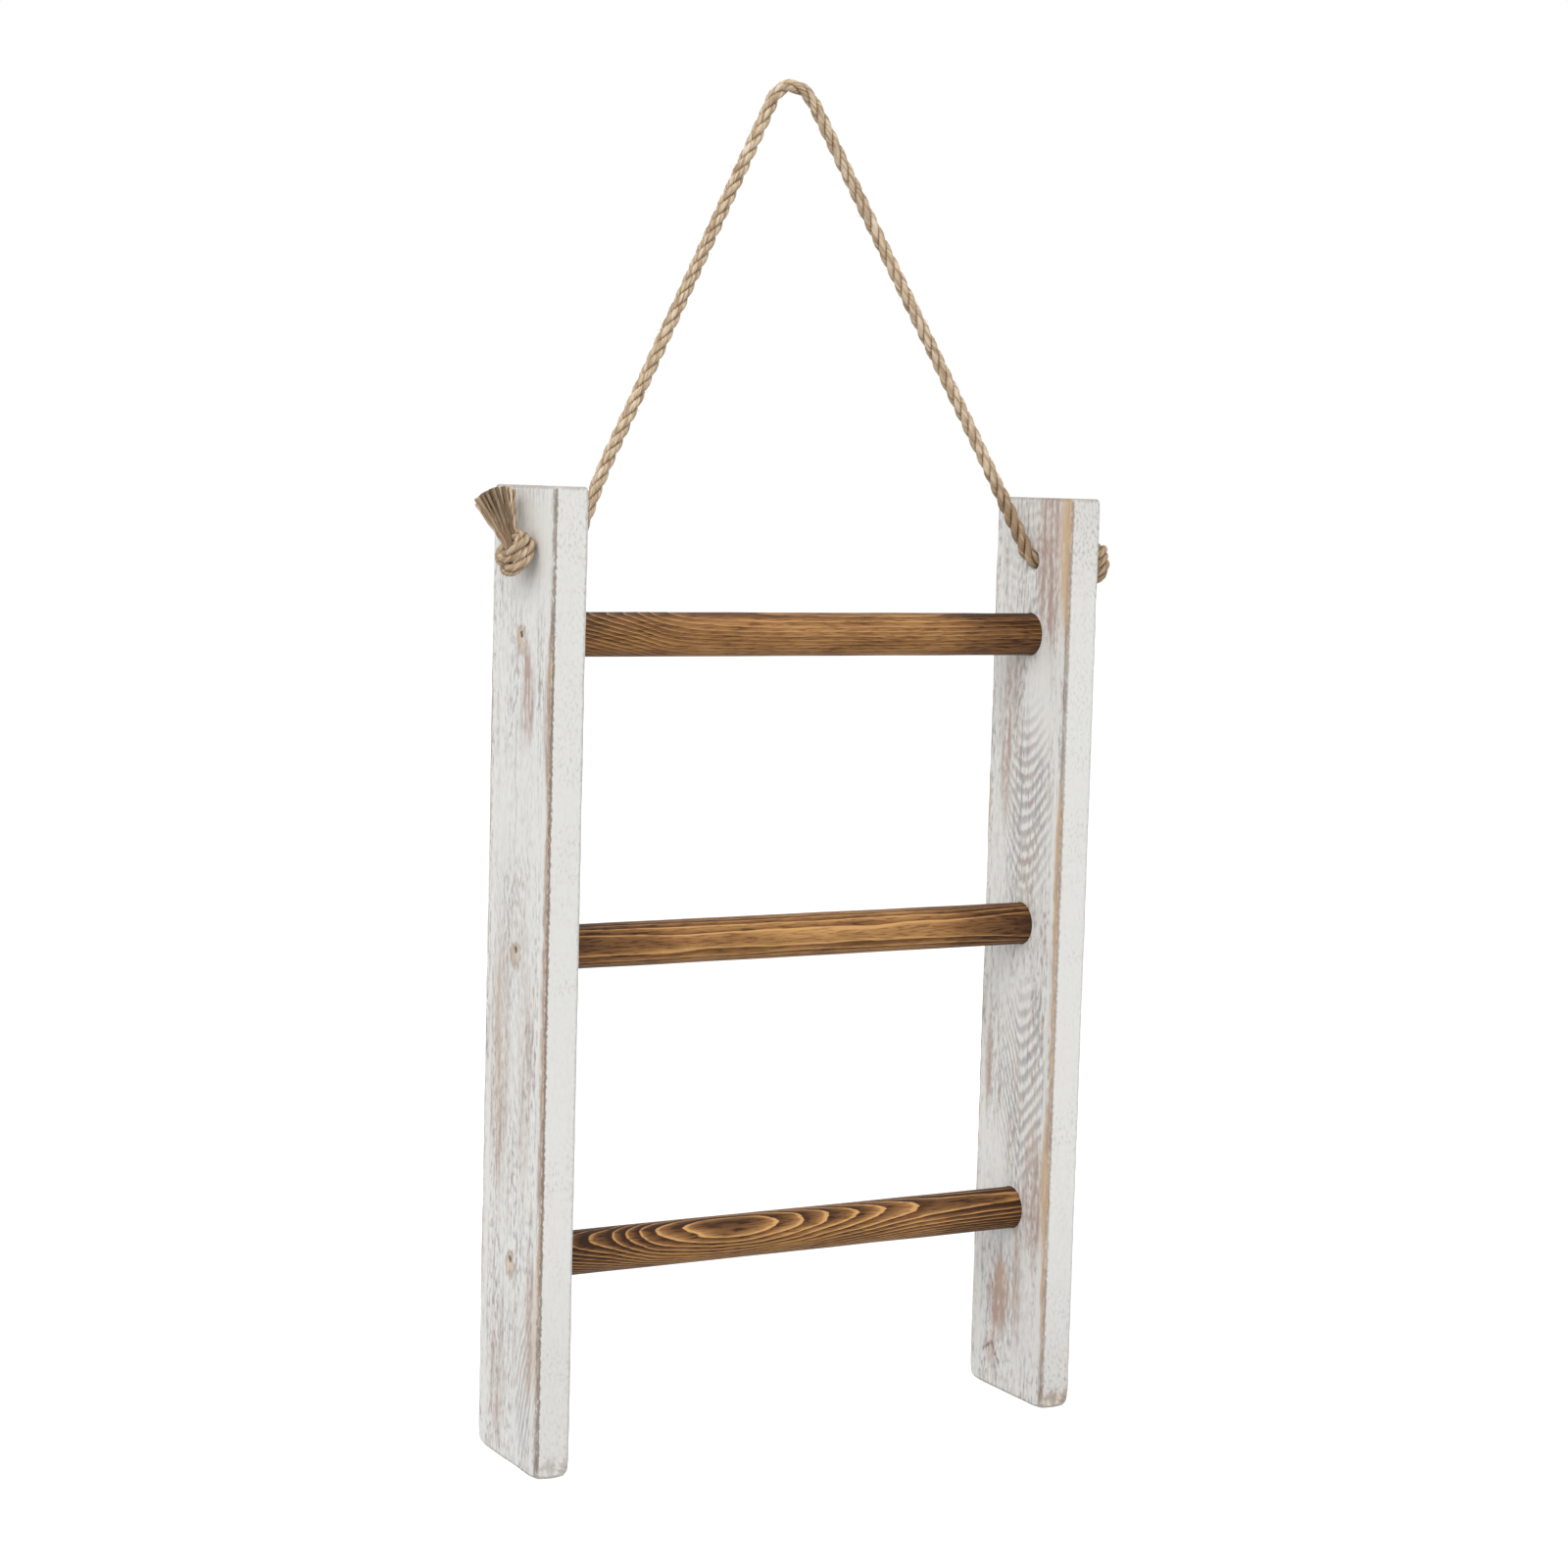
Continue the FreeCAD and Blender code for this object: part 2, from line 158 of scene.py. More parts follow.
class Flow:
    """A node's output, which Python's operators extend with Math nodes."""

    def __init__(self, tree, socket=None):
        self.tree = tree
        self.socket = socket

    def node(self, kind, settings=None, inputs=None, output=0):
        """Adds a node: its settings first, then values or links for its sockets."""
        made = self.tree.nodes.new(kind)
        for name, value in (settings or {}).items():
            if name == "stops":
                set_stops(made.color_ramp, value)
            elif name == "curve":
                set_curve(made.mapping, value)
            else:
                setattr(made, name, value)
        for key, value in (inputs or {}).items():
            if isinstance(value, Flow):
                self.tree.links.new(value.socket, made.inputs[key])
            else:
                made.inputs[key].default_value = value
        return Flow(self.tree, made.outputs[output])

    def shape(self, kind, settings=None, output=0, **inputs):
        """Adds a geometry node, with _ for a space in its sockets' names."""
        named = {name.replace("_", " "): value for name, value in inputs.items()}
        return self.node(f"GeometryNode{kind}", settings, named, output)

    def math(self, operation, *others):
        return self.node("ShaderNodeMath", {"operation": operation}, dict(enumerate((self, *others))))

    def __add__(self, other):
        return self.math("ADD", other)

    def __sub__(self, other):
        return self.math("SUBTRACT", other)

    def __rsub__(self, other):
        return self.node("ShaderNodeMath", {"operation": "SUBTRACT"}, {0: other, 1: self})

    def __mul__(self, other):
        return self.math("MULTIPLY", other)

    def __truediv__(self, other):
        return self.math("DIVIDE", other)

    def __pow__(self, other):
        return self.math("POWER", other)

    __radd__ = __add__
    __rmul__ = __mul__

    def least(self, other):
        return self.math("MINIMUM", other)

    def most(self, other):
        return self.math("MAXIMUM", other)

    def rise(self, start, end):
        """0 below start, 1 above end, and a smooth step between them."""
        return self.node("ShaderNodeMapRange", {"interpolation_type": "SMOOTHSTEP"},
                         {"Value": self, "From Min": start, "From Max": end})

    def vector(self, operation, *others, output=0):
        return self.node("ShaderNodeVectorMath", {"operation": operation},
                         dict(enumerate((self, *others))), output)

    def scaled(self, share):
        return self.node("ShaderNodeVectorMath", {"operation": "SCALE"}, {0: self, "Scale": share})

    def parts(self):
        return [self.node("ShaderNodeSeparateXYZ", None, {0: self}, i) for i in range(3)]

    def grain(self, cell, detail=2.0, seed=0.0):
        """Noise from 0 to 1 whose cells have the given sizes along X, Y and Z."""
        moved = self.vector("DIVIDE", cell).vector("ADD", (seed, seed, seed))
        return self.node("ShaderNodeTexNoise", None, {"Vector": moved, "Scale": 1.0, "Detail": detail})

    def ramp(self, *stops):
        return self.node("ShaderNodeValToRGB", {"stops": stops}, {"Fac": self})

    def mixed(self, first, second):
        """A colour between two, by this value."""
        first, second = [end if isinstance(end, Flow) else opaque(end) for end in (first, second)]
        return self.node("ShaderNodeMix", {"data_type": "RGBA"}, {0: self, 6: first, 7: second}, 2)


def set_stops(ramp, stops):
    """Gives a colour ramp its stops, each a place and a grey level or a colour."""
    while len(ramp.elements) < len(stops):
        ramp.elements.new(1.0)
    for element, (place, level) in zip(ramp.elements, stops):
        element.position = place
        element.color = opaque(level) if hasattr(level, "__len__") else (level, level, level, 1.0)


def set_curve(mapping, points):
    """Gives a curve node its points, each from 0 to 1 both ways."""
    line = mapping.curves[0].points
    while len(line) < len(points):
        line.new(0.5, 0.5)
    for point, place in zip(line, points):
        point.location = place
    mapping.update()


def opaque(rgb):
    return (*rgb, 1.0)


def new_material(name):
    """A material, a flow to start its nodes from, and its shader."""
    material = bpy.data.materials.new(name)
    material.use_nodes = True
    tree = material.node_tree
    return material, Flow(tree), tree.nodes["Principled BSDF"]


def feed(shader, **values):
    """Gives a shader's sockets, whose names have _ for a space, their flows or constants."""
    for name, value in values.items():
        socket = shader.inputs[name.replace("_", " ")]
        if isinstance(value, Flow):
            value.tree.links.new(value.socket, socket)
        else:
            socket.default_value = value


def geometry_tree(name, inputs):
    """A node tree for meshes with named inputs, each given as a flow."""
    tree = bpy.data.node_groups.new(name, "GeometryNodeTree")
    tree.interface.new_socket("Geometry", in_out="INPUT", socket_type="NodeSocketGeometry")
    for label, kind in inputs.items():
        tree.interface.new_socket(label, in_out="INPUT", socket_type=f"NodeSocket{kind}")
    tree.interface.new_socket("Geometry", in_out="OUTPUT", socket_type="NodeSocketGeometry")
    source = tree.nodes.new("NodeGroupInput")
    return tree, {s.name: Flow(tree, s) for s in source.outputs if s.name}


def end_tree(geometry, material):
    """Ends a tree in real faces that have a material."""
    real = geometry.shape("RealizeInstances", Geometry=geometry)
    smooth = geometry.shape("SetShadeSmooth", Geometry=real)
    dressed = geometry.shape("SetMaterial", Geometry=smooth, Material=material)
    out = geometry.tree.nodes.new("NodeGroupOutput")
    geometry.tree.links.new(dressed.socket, out.inputs[0])


def evaluated_mesh(obj):
    """What an object's modifiers make of it, as a plain mesh."""
    graph = bpy.context.evaluated_depsgraph_get()
    return bpy.data.meshes.new_from_object(obj.evaluated_get(graph), preserve_all_data_layers=True,
                                           depsgraph=graph)


def grow(name, mesh, tree, values):
    """Runs a node tree on a mesh and keeps the result as a plain mesh."""
    piece = add_object(name, mesh)
    modifier = piece.modifiers.new(tree.name, "NODES")
    modifier.node_group = tree
    for item in tree.interface.items_tree:
        if item.in_out == "INPUT" and item.name in values:
            modifier[item.identifier] = values[item.name]
    made = evaluated_mesh(piece)
    piece.modifiers.remove(modifier)
    piece.data = made
    return piece


# Meshes

def add_object(name, data):
    obj = bpy.data.objects.new(name, data)
    bpy.context.scene.collection.objects.link(obj)
    return obj


def finish_mesh(build, name):
    """Turns a bmesh into a smooth mesh whose faces point outwards."""
    bmesh.ops.recalc_face_normals(build, faces=build.faces)
    mesh = bpy.data.meshes.new(name)
    build.to_mesh(mesh)
    build.free()
    mesh.shade_smooth()
    return mesh


def add_turned(build, profile, axis, segments, stray=None):
    """Turns a profile of (x, radius) points about a line along X through axis."""
    rings = []
    for x, radius in profile:
        if radius == 0.0:
            rings.append([build.verts.new((x, axis.y, axis.z))] * segments)
            continue
        ring = []
        for i in range(segments):
            angle = math.tau * i / segments
            reach = radius + (stray(x, angle) if stray else 0.0)
            ring.append(build.verts.new((x, axis.y + reach * math.cos(angle),
                                         axis.z + reach * math.sin(angle))))
        rings.append(ring)
    for first, second in zip(rings, rings[1:]):
        for i in range(segments):
            j = (i + 1) % segments
            corners = dict.fromkeys((first[i], first[j], second[j], second[i]))
            build.faces.new(list(corners))


def wander(*place):
    """Smooth noise from -1 to 1 at a place."""
    return noise.noise(Vector(place))


# Places that the frame gives

RAIL_BOX = {side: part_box(f"{side}_rail") for side in SIDES}
RUNG_BOX = {rung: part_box(f"{rung}_rung") for rung in RUNGS}
NAIL_BOX = {rung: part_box(f"left_{rung}_nail") for rung in RUNGS}


def middle(box):
    return (box[0] + box[1]) / 2


def rung_axis(rung):
    return middle(RUNG_BOX[rung])


# The rope's route from the left knot over the hook to the right knot
ROUTE = (
    (-0.1398, -0.0230, -0.2010),
    (-0.1316, -0.0230, -0.2010),
    (-0.1220, -0.0230, -0.2010),
    (-0.1162, -0.0229, -0.2003),
    (-0.1104, -0.0215, -0.1870),
    (-0.1010, -0.0189, -0.1650),
    (-0.0890, -0.0164, -0.1430),
    (-0.0310, -0.0041, -0.0345),
    (-0.0145, -0.0004, -0.0038),
    (-0.0064, 0.0014, 0.0119),
    (0.0076, 0.0014, 0.0119),
    (0.0165, -0.0004, -0.0038),
    (0.0330, -0.0041, -0.0345),
    (0.0903, -0.0158, -0.1386),
    (0.1175, -0.0220, -0.1905),
    (0.1220, -0.0230, -0.2010),
    (0.1316, -0.0230, -0.2010),
    (0.1398, -0.0230, -0.2010),
)
ROUTE_RESOLUTION = 24


def spline_points(name, points):
    """Points read along the smooth curve that has the given points as its control points."""
    curve = bpy.data.curves.new(name, "CURVE")
    curve.dimensions = "3D"
    spline = curve.splines.new("NURBS")
    spline.points.add(len(points) - 1)
    for point, place in zip(spline.points, points):
        point.co = (*place, 1.0)
    spline.order_u = 3
    spline.use_endpoint_u = True
    spline.resolution_u = ROUTE_RESOLUTION
    holder = bpy.data.objects.new(name, curve)
    mesh = bpy.data.meshes.new_from_object(holder)
    bpy.data.objects.remove(holder)
    return mesh, [v.co.copy() for v in mesh.vertices]


# Rope

# Patches of like fibres: their size round a strand, where its radius is 1, and along it in metres
HAIR_CELL = (0.14, 0.14, 7.0 * MM)
TUFT_CELL = (0.9, 0.9, 9.0 * MM)
FRESH_CELL = (1.2, 1.2, 16.0 * MM)
# How much browner than the rope its knots and its frayed tails are
KNOT_BROWNING = 0.06
TAIL_BROWNING = 0.13


def stored(start, name, output="Fac"):
    """A value that a mesh's points carry."""
    return start.node("ShaderNodeAttribute", {"attribute_name": name}, output=output)


def jute_material(name, rope, browning=0.0):
    """Straw and brown fibres along the yarns, and painted shade down between the strands."""
    material, start, shader = new_material(name)
    along, height, opened = [stored(start, value) for value in ("along", "height", "opened")]
    round_x, round_y, _ = stored(start, "spin", "Vector").parts()
    place = start.node("ShaderNodeCombineXYZ", None, {0: round_x, 1: round_y, 2: along})
    hair = place.grain(HAIR_CELL, 3.0)
    tuft = place.grain(TUFT_CELL, 2.0, seed=7.0)
    tone = (hair * 0.6 + tuft * 0.75 + opened * 0.3 + (browning - 0.1)).rise(0.49, 0.71)
    fresh = place.grain(FRESH_CELL, 2.0, seed=12.0).rise(0.4, 0.62)
    lit = tone.mixed(fresh.mixed(rope.straw, rope.gold), rope.brown)
    # Painted shade: the nearer a spot lies to the rope's middle, the more it takes the shade colour
    face = height.rise(0.43, 0.84).mixed(rope.shade, lit)
    bump = start.node("ShaderNodeBump", None, {"Strength": 0.7, "Distance": 0.25 * MM, "Height": hair})
    feed(shader, Base_Color=face, Normal=bump, Roughness=0.85, Specular_IOR_Level=0.25)
    return material


def store(geometry, name, kind, value):
    return geometry.shape("StoreNamedAttribute", {"data_type": kind, "domain": "POINT"},
                          Geometry=geometry, Name=name, Value=value)


def lobed_ring(start, sides, radius, lobes, depth):
    """A closed profile with a lobe for each yarn, whose points know where round it they are."""
    ring = start.shape("CurvePrimitiveCircle", Resolution=sides, Radius=1.0)
    place = start.shape("InputPosition")
    ring = store(ring, "spin", "FLOAT_VECTOR", place)
    x, y, _ = place.parts()
    ripple = (y.math("ARCTAN2", x) * lobes).math("COSINE")
    reach = radius * (1.0 - depth + ripple * depth)
    return start.shape("SetPosition", Geometry=ring, Position=place.scaled(reach))


STRAND_SIDES = 21
STRAND_SHARE = 0.525
YARN_LOBE_SHARE = 0.09
STRAND_SWELL_SHARE = 0.16
STRAND_SWELL_LENGTH = 9.0 * MM
# How far apart two strands are in the fibres' noise, in metres, and in the noise of their swelling
STRAND_APART = 0.37
SWELL_APART = 13.0
# How far the strands move out and how much they swell where the lay has opened
OPENED_OUT = 0.5
OPENED_SWELL = 1.3


def laid_rope_tree():
    """Strands twisted along a path, each with its yarns twisted back, and loose fibres."""
    tree, given = geometry_tree("laid_rope", {
        "Diameter": "Float", "Strands": "Int", "Strand turn": "Float", "Yarns": "Int",
        "Yarn turn": "Float", "Step": "Float", "Fibres": "Float", "Fibre length": "Float",
        "Opening": "Float", "Opened at": "Float", "Opened reach": "Float",
        "Seed": "Int", "Material": "Material"})
    start = Flow(tree)
    radius = given["Diameter"] * 0.5
    line = start.shape("MeshToCurve", Mesh=given["Geometry"])
    line = start.shape("ResampleCurve", {"mode": "LENGTH"}, Curve=line, Length=given["Step"])
    line = store(line, "centre", "FLOAT_VECTOR", start.shape("InputPosition"))
    strands = start.shape("DuplicateElements", {"domain": "SPLINE"},
                          Geometry=line, Amount=given["Strands"])
    which = Flow(tree, strands.socket.node.outputs["Duplicate Index"])
    along = start.shape("SplineParameter", output="Length")
    strands = store(strands, "along", "FLOAT", along + which * STRAND_APART)
    apart = (along - given["Opened at"]).math("ABSOLUTE") / given["Opened reach"]
    opened = (1.0 - apart.rise(0.2, 1.0)) * given["Opening"]
    strands = store(strands, "opened", "FLOAT", opened)
    turn = (along / given["Strand turn"] + which / given["Strands"]) * math.tau
    outward = start.node("ShaderNodeVectorRotate", {"rotation_type": "AXIS_ANGLE"}, {
        "Vector": start.shape("InputNormal"), "Axis": start.shape("InputTangent"), "Angle": turn})
    strand_radius = radius * STRAND_SHARE
    offset = outward.scaled((radius - strand_radius) * (1.0 + opened * OPENED_OUT))
    strands = start.shape("SetPosition", Geometry=strands, Offset=offset)
    back_turn = along / given["Yarn turn"] * -math.tau
    strands = start.shape("SetCurveTilt", Curve=strands, Tilt=back_turn)
    swell_at = along / STRAND_SWELL_LENGTH + which * SWELL_APART
    swell = start.node("ShaderNodeTexNoise", {"noise_dimensions": "1D"},
                       {"W": swell_at, "Scale": 1.0, "Detail": 1.0})
    thickness = 1.0 + opened * OPENED_SWELL + (swell - 0.5) * STRAND_SWELL_SHARE
    strands = start.shape("SetCurveRadius", Curve=strands, Radius=thickness)
    ring = lobed_ring(start, STRAND_SIDES, strand_radius, given["Yarns"], YARN_LOBE_SHARE)
    skin = start.shape("CurveToMesh", Curve=strands, Profile_Curve=ring, Fill_Caps=True)
    centre = start.shape("InputNamedAttribute", {"data_type": "FLOAT_VECTOR"}, Name="centre")
    place = start.shape("InputPosition")
    # How far a spot lies from the rope's middle, which the jute material turns into painted shade
    height = place.vector("DISTANCE", centre, output="Value") / radius
    skin = store(skin, "height", "FLOAT", height)
    fuzz = loose_fibres(start, skin, given)
    both = start.shape("JoinGeometry", Geometry=skin)
    tree.links.new(fuzz.socket, both.socket.node.inputs[0])
    end_tree(both, given["Material"])
    return tree


FIBRE_SIDES = 3
FIBRE_STEPS = 3
FIBRE_RADIUS_SHARE = 0.022
FIBRE_BEND = (0.0, 0.25, 0.5)
FIBRE_TAPER = 0.8
SHORTEST_FIBRE_SHARE = 0.35


def loose_fibres(start, skin, given):
    """Fine bent hairs that stand out of a skin."""
    hair = start.shape("CurveQuadraticBezier", Resolution=FIBRE_STEPS, Start=(0.0, 0.0, 0.0),
                       Middle=FIBRE_BEND, End=(0.0, 0.0, 1.0))
    taper = 1.0 - start.shape("SplineParameter", output="Factor") * FIBRE_TAPER
    hair = start.shape("SetCurveRadius", Curve=hair, Radius=taper)
    ring = start.shape("CurvePrimitiveCircle", Resolution=FIBRE_SIDES, Radius=FIBRE_RADIUS_SHARE)
    hair = start.shape("CurveToMesh", Curve=hair, Profile_Curve=ring)
    # Loose fibres get none of the painted shade
    hair = store(hair, "height", "FLOAT", 1.0)
    points = start.shape("DistributePointsOnFaces", Mesh=skin, Density=given["Fibres"],
                         Seed=given["Seed"])
    normal = Flow(start.tree, points.socket.node.outputs["Normal"])
    stray = start.node("FunctionNodeRandomValue", {"data_type": "FLOAT_VECTOR"},
                       {0: (-1.0, -1.0, -1.0), 1: (1.0, 1.0, 1.0), "Seed": given["Seed"]})
    turn = start.node("FunctionNodeAlignRotationToVector", {"axis": "Z"},
                      {"Vector": normal.vector("ADD", stray)})
    longest = given["Fibre length"]
    reach = start.node("FunctionNodeRandomValue", {"data_type": "FLOAT"},
                       {2: longest * SHORTEST_FIBRE_SHARE, 3: longest, "Seed": given["Seed"]}, 1)
    return start.shape("InstanceOnPoints", Points=points, Instance=hair, Rotation=turn, Scale=reach)


def rope_values(rope, material, seed):
    return {
        "Diameter": rope.diameter, "Strands": rope.strands, "Strand turn": rope.strand_turn,
        "Yarns": rope.yarns, "Yarn turn": rope.yarn_turn, "Step": rope.step,
        "Fibres": rope.fibres, "Fibre length": rope.fibre_length, "Opened at": rope.opened_at,
        "Opened reach": rope.opened_reach, "Seed": seed, "Material": material}


KNOT_MIDDLE = {
    "left": Vector((-0.1473, -0.0315, -0.2010)),
    "right": Vector((0.1485, -0.0345, -0.2010)),
}
# A knot's rope from its hole: outwards from the rail, to the front and up from its middle, in mm
KNOT_TURNS = (
    (-7.5, -8.5, 0.0),
    (-4.5, -8.0, -1.5),
    (0.5, -6.5, -5.0),
    (3.6, 0.0, -6.6),
    (2.7, 6.8, -5.6),
    (-0.5, 8.6, -1.4),
    (-3.8, 7.2, 3.4),
    (-4.4, 2.2, 7.2),
    (-2.2, -4.5, 6.6),
    (1.6, -8.0, 1.8),
    (4.0, -5.2, -2.4),
    (4.4, 3.0, -1.8),
    (2.6, 8.0, 2.6),
    (-1.4, 6.6, 7.6),
    (-1.8, 0.0, 8.2),
    (1.0, -3.5, 3.0),
)
# The middle line of each knot's tail, given the same way
TAIL_LINE = {
    "left": ((0.4, -1.0, 3.0), (2.0, -5.0, 11.0), (4.9, -14.0, 27.0)),
    "right": ((0.4, -1.0, 3.0), (0.4, -7.0, 11.0), (1.4, -18.0, 26.0)),
}


def by_knot(side, points):
    """Places beside a knot's middle; the right knot is the left one turned half round, front kept."""
    centre = KNOT_MIDDLE[side]
    out, up = (-MM, MM) if side == "left" else (MM, -MM)
    return [centre + Vector((out * a, -MM * b, up * c)) for a, b, c in points]


GOLDEN_ANGLE = math.pi * (3.0 - math.sqrt(5.0))
TAIL_STEPS = 18
TAIL_LENGTH = 0.03
TAIL_FLARE = 1.15
YARN_SIDES = 8
YARN_LOBES = 2
YARN_FLAT_SHARE = 0.12
YARN_TWIST = 9.0
# A yarn's thickness at its root, and how much thicker it is at its end
YARN_ROOT_SHARE = 0.85
YARN_SPREAD_SHARE = 0.5
# How far apart two yarns are in the fibres' noise, in metres, and in the noise that makes them stray
YARN_APART = 0.41
STRAY_APART = 3.7
STRAY_WAVES = 2.2
# Each yarn draws a lot: low ones are paler, and high ones darker through more painted shade, by so much
LOT_STEP = 0.755
PALE_LOT = 0.7
DARK_LOT = 0.34
# Painted light on the tail's innermost yarn, and how much more its outermost one gets
INNER_LIGHT = 0.5
OUTER_LIGHT = 0.4


def frayed_tail_tree():
    """Yarns that spread from a root to a wide cut end."""
    tree, given = geometry_tree("frayed_tail", {
        "Yarns": "Int", "Yarn radius": "Float", "Root radius": "Float", "Tip radius": "Float",
        "Stray": "Float", "Dome": "Float", "Material": "Material"})
    start = Flow(tree)
    line = start.shape("MeshToCurve", Mesh=given["Geometry"])
    line = start.shape("ResampleCurve", {"mode": "COUNT"}, Curve=line, Count=TAIL_STEPS)
    yarns = start.shape("DuplicateElements", {"domain": "SPLINE"}, Geometry=line, Amount=given["Yarns"])
    which = Flow(tree, yarns.socket.node.outputs["Duplicate Index"])
    share = ((which + 0.5) / given["Yarns"]) ** 0.5
    along = start.shape("SplineParameter", output="Factor")
    yarns = store(yarns, "along", "FLOAT", along * TAIL_LENGTH + which * YARN_APART)
    lot = (which * LOT_STEP).math("FRACT")
    yarns = store(yarns, "opened", "FLOAT", lot.rise(0.1, 0.4) * PALE_LOT - PALE_LOT)
    # Each yarn's painted light is stored as its height, which the jute material turns into painted shade
    # where it is low
    light = share * OUTER_LIGHT + INNER_LIGHT - lot.rise(0.4, 0.9) * DARK_LOT
    yarns = store(yarns, "height", "FLOAT", light)
    spread = given["Root radius"] + (given["Tip radius"] - given["Root radius"]) * along ** TAIL_FLARE
    tangent = start.shape("InputTangent")
    outward = start.node("ShaderNodeVectorRotate", {"rotation_type": "AXIS_ANGLE"}, {
        "Vector": start.shape("InputNormal"), "Axis": tangent, "Angle": which * GOLDEN_ANGLE})
    stray = start.node("ShaderNodeTexNoise", {"noise_dimensions": "1D"},
                       {"W": along * STRAY_WAVES + which * STRAY_APART, "Scale": 1.0, "Detail": 1.0},
                       "Color")
    stray = stray.vector("SUBTRACT", (0.5, 0.5, 0.5)).scaled(along * given["Stray"])
    dome = tangent.scaled(share * share * along * given["Dome"] * -1.0)
    moved = outward.scaled(share * spread).vector("ADD", stray).vector("ADD", dome)
    yarns = start.shape("SetPosition", Geometry=yarns, Offset=moved)
    yarns = start.shape("SetCurveTilt", Curve=yarns, Tilt=along * YARN_TWIST)
    thickness = along * YARN_SPREAD_SHARE + YARN_ROOT_SHARE
    yarns = start.shape("SetCurveRadius", Curve=yarns, Radius=thickness)
    ring = lobed_ring(start, YARN_SIDES, given["Yarn radius"], YARN_LOBES, YARN_FLAT_SHARE)
    skin = start.shape("CurveToMesh", Curve=yarns, Profile_Curve=ring, Fill_Caps=True)
    end_tree(skin, given["Material"])
    return tree


TAIL_ROOT_RADIUS = 2.6 * MM
TAIL_TIP_RADIUS = 9.2 * MM
TAIL_STRAY = 1.2 * MM
TAIL_DOME = 3.0 * MM


class LADDER_OT_knots(Operator):
    """Ties a knot outside each rail and frays the rope's ends"""
    bl_idname = "towel_ladder.tie_knots"
    bl_label = "Tie knots"

    def execute(self, context):
        rope = context.scene.towel_ladder.rope
        material = jute_material("jute_knots", rope, KNOT_BROWNING)
        frayed = jute_material("jute_tails", rope, TAIL_BROWNING)
        coil, tail = laid_rope_tree(), frayed_tail_tree()
        for seed, side in enumerate(SIDES):
            mesh, _ = spline_points(f"{side}_turns", by_knot(side, KNOT_TURNS))
            knot = grow(f"jute_{side}_knot", mesh, coil, rope_values(rope, material, seed))
            mesh, _ = spline_points(f"{side}_tail_line", by_knot(side, TAIL_LINE[side]))
            end = grow(f"jute_{side}_frayed_tail", mesh, tail, {
                "Yarns": rope.tail_yarns, "Yarn radius": rope.tail_yarn_radius,
                "Root radius": TAIL_ROOT_RADIUS, "Tip radius": TAIL_TIP_RADIUS,
                "Stray": TAIL_STRAY, "Dome": TAIL_DOME, "Material": frayed})
            for piece in (knot, end):
                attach(piece, "rope")
                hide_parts(f"{side}_knot")
        return {"FINISHED"}


ROPE_SEED = 3


class LADDER_OT_rope(Operator):
    """Lays the rope through the rails' holes and over the hook's place"""
    bl_idname = "towel_ladder.lay_rope"
    bl_label = "Lay rope"

    def execute(self, context):
        rope = context.scene.towel_ladder.rope
        mesh, path = spline_points("rope_route", ROUTE)
        material = jute_material("jute_rope", rope)
        piece = grow("jute_hanging_rope", mesh, laid_rope_tree(), {
            **rope_values(rope, material, ROPE_SEED), "Opening": rope.opening})
        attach(piece, "rope")
        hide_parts("hanging_rope")
        return {"FINISHED"}


# Rails

# Distances in mm from a face's edge at which its mesh has lines
EDGE_LINES = (0.0, 0.5, 1.0, 1.5, 2.1, 3.0, 4.2, 5.8)
CORNER_REACH = 9.0 * MM
# Size in metres of the dents in a worn edge and of the waves in a planed face
CHIP_CELL = (0.011, 0.013, 0.009)
WAVE_CELL = (0.03, 0.012, 0.07)
# By how much dents change an edge's radius, and how far the waves lie below the flat face
CHIP_SHARE = 0.45
WAVE_SINK = 0.6
RAIL_SEED_STEP = 7.3


def graded(low, high, step):
    """Lines across a face, closer together near its two edges."""
    edge = [d * MM for d in EDGE_LINES if d * MM < (high - low) / 2]
    inner = max(1, round((high - low - 2 * edge[-1]) / step))
    between = [low + edge[-1] + (high - low - 2 * edge[-1]) * i / inner for i in range(1, inner)]
    return [low + d for d in edge] + between + [high - d for d in reversed(edge)]


def plank(box, rails, seed):
    """A plank whose edges are worn round by uneven amounts and whose faces are a little wavy."""
    low, high = box
    lines = [graded(low[i], high[i], rails.grid) for i in range(3)]
    build = bmesh.new()
    made = {}

    def corner(index):
        if index not in made:
            flat = Vector([lines[i][index[i]] for i in range(3)])
            made[index] = build.verts.new(worn(flat, low, high, rails, seed))
        return made[index]

    for axis in range(3):
        one, two = [i for i in range(3) if i != axis]
        for end in (0, len(lines[axis]) - 1):
            for i in range(len(lines[one]) - 1):
                for j in range(len(lines[two]) - 1):
                    square = []
                    for a, b in ((i, j), (i + 1, j), (i + 1, j + 1), (i, j + 1)):
                        index = [end] * 3
                        index[one], index[two] = a, b
                        square.append(corner(tuple(index)))
                    build.faces.new(square)
    return finish_mesh(build, "plank")


def worn(flat, low, high, rails, seed):
    """Moves a point of a sharp box to the worn surface."""
    inset = [min(flat[i] - low[i], high[i] - flat[i]) for i in range(3)]
    edge = min(1.0, Vector(inset).length / CORNER_REACH)
    chip = wander(flat.x / CHIP_CELL[0], flat.y / CHIP_CELL[1], flat.z / CHIP_CELL[2] + seed)
    radius = rails.arris_round * (1.0 + CHIP_SHARE * chip)
    at_foot = flat.z - low.z < high.z - flat.z
    radius += ((rails.foot_round if at_foot else rails.top_round) - radius) * (1.0 - edge) ** 2
    kept = Vector([min(max(flat[i], low[i] + radius), high[i] - radius) for i in range(3)])
    outward = (flat - kept).normalized()
    wave = wander(flat.x / WAVE_CELL[0], flat.y / WAVE_CELL[1] + seed, flat.z / WAVE_CELL[2])
    return kept + outward * (radius + rails.waviness * (wave - WAVE_SINK))


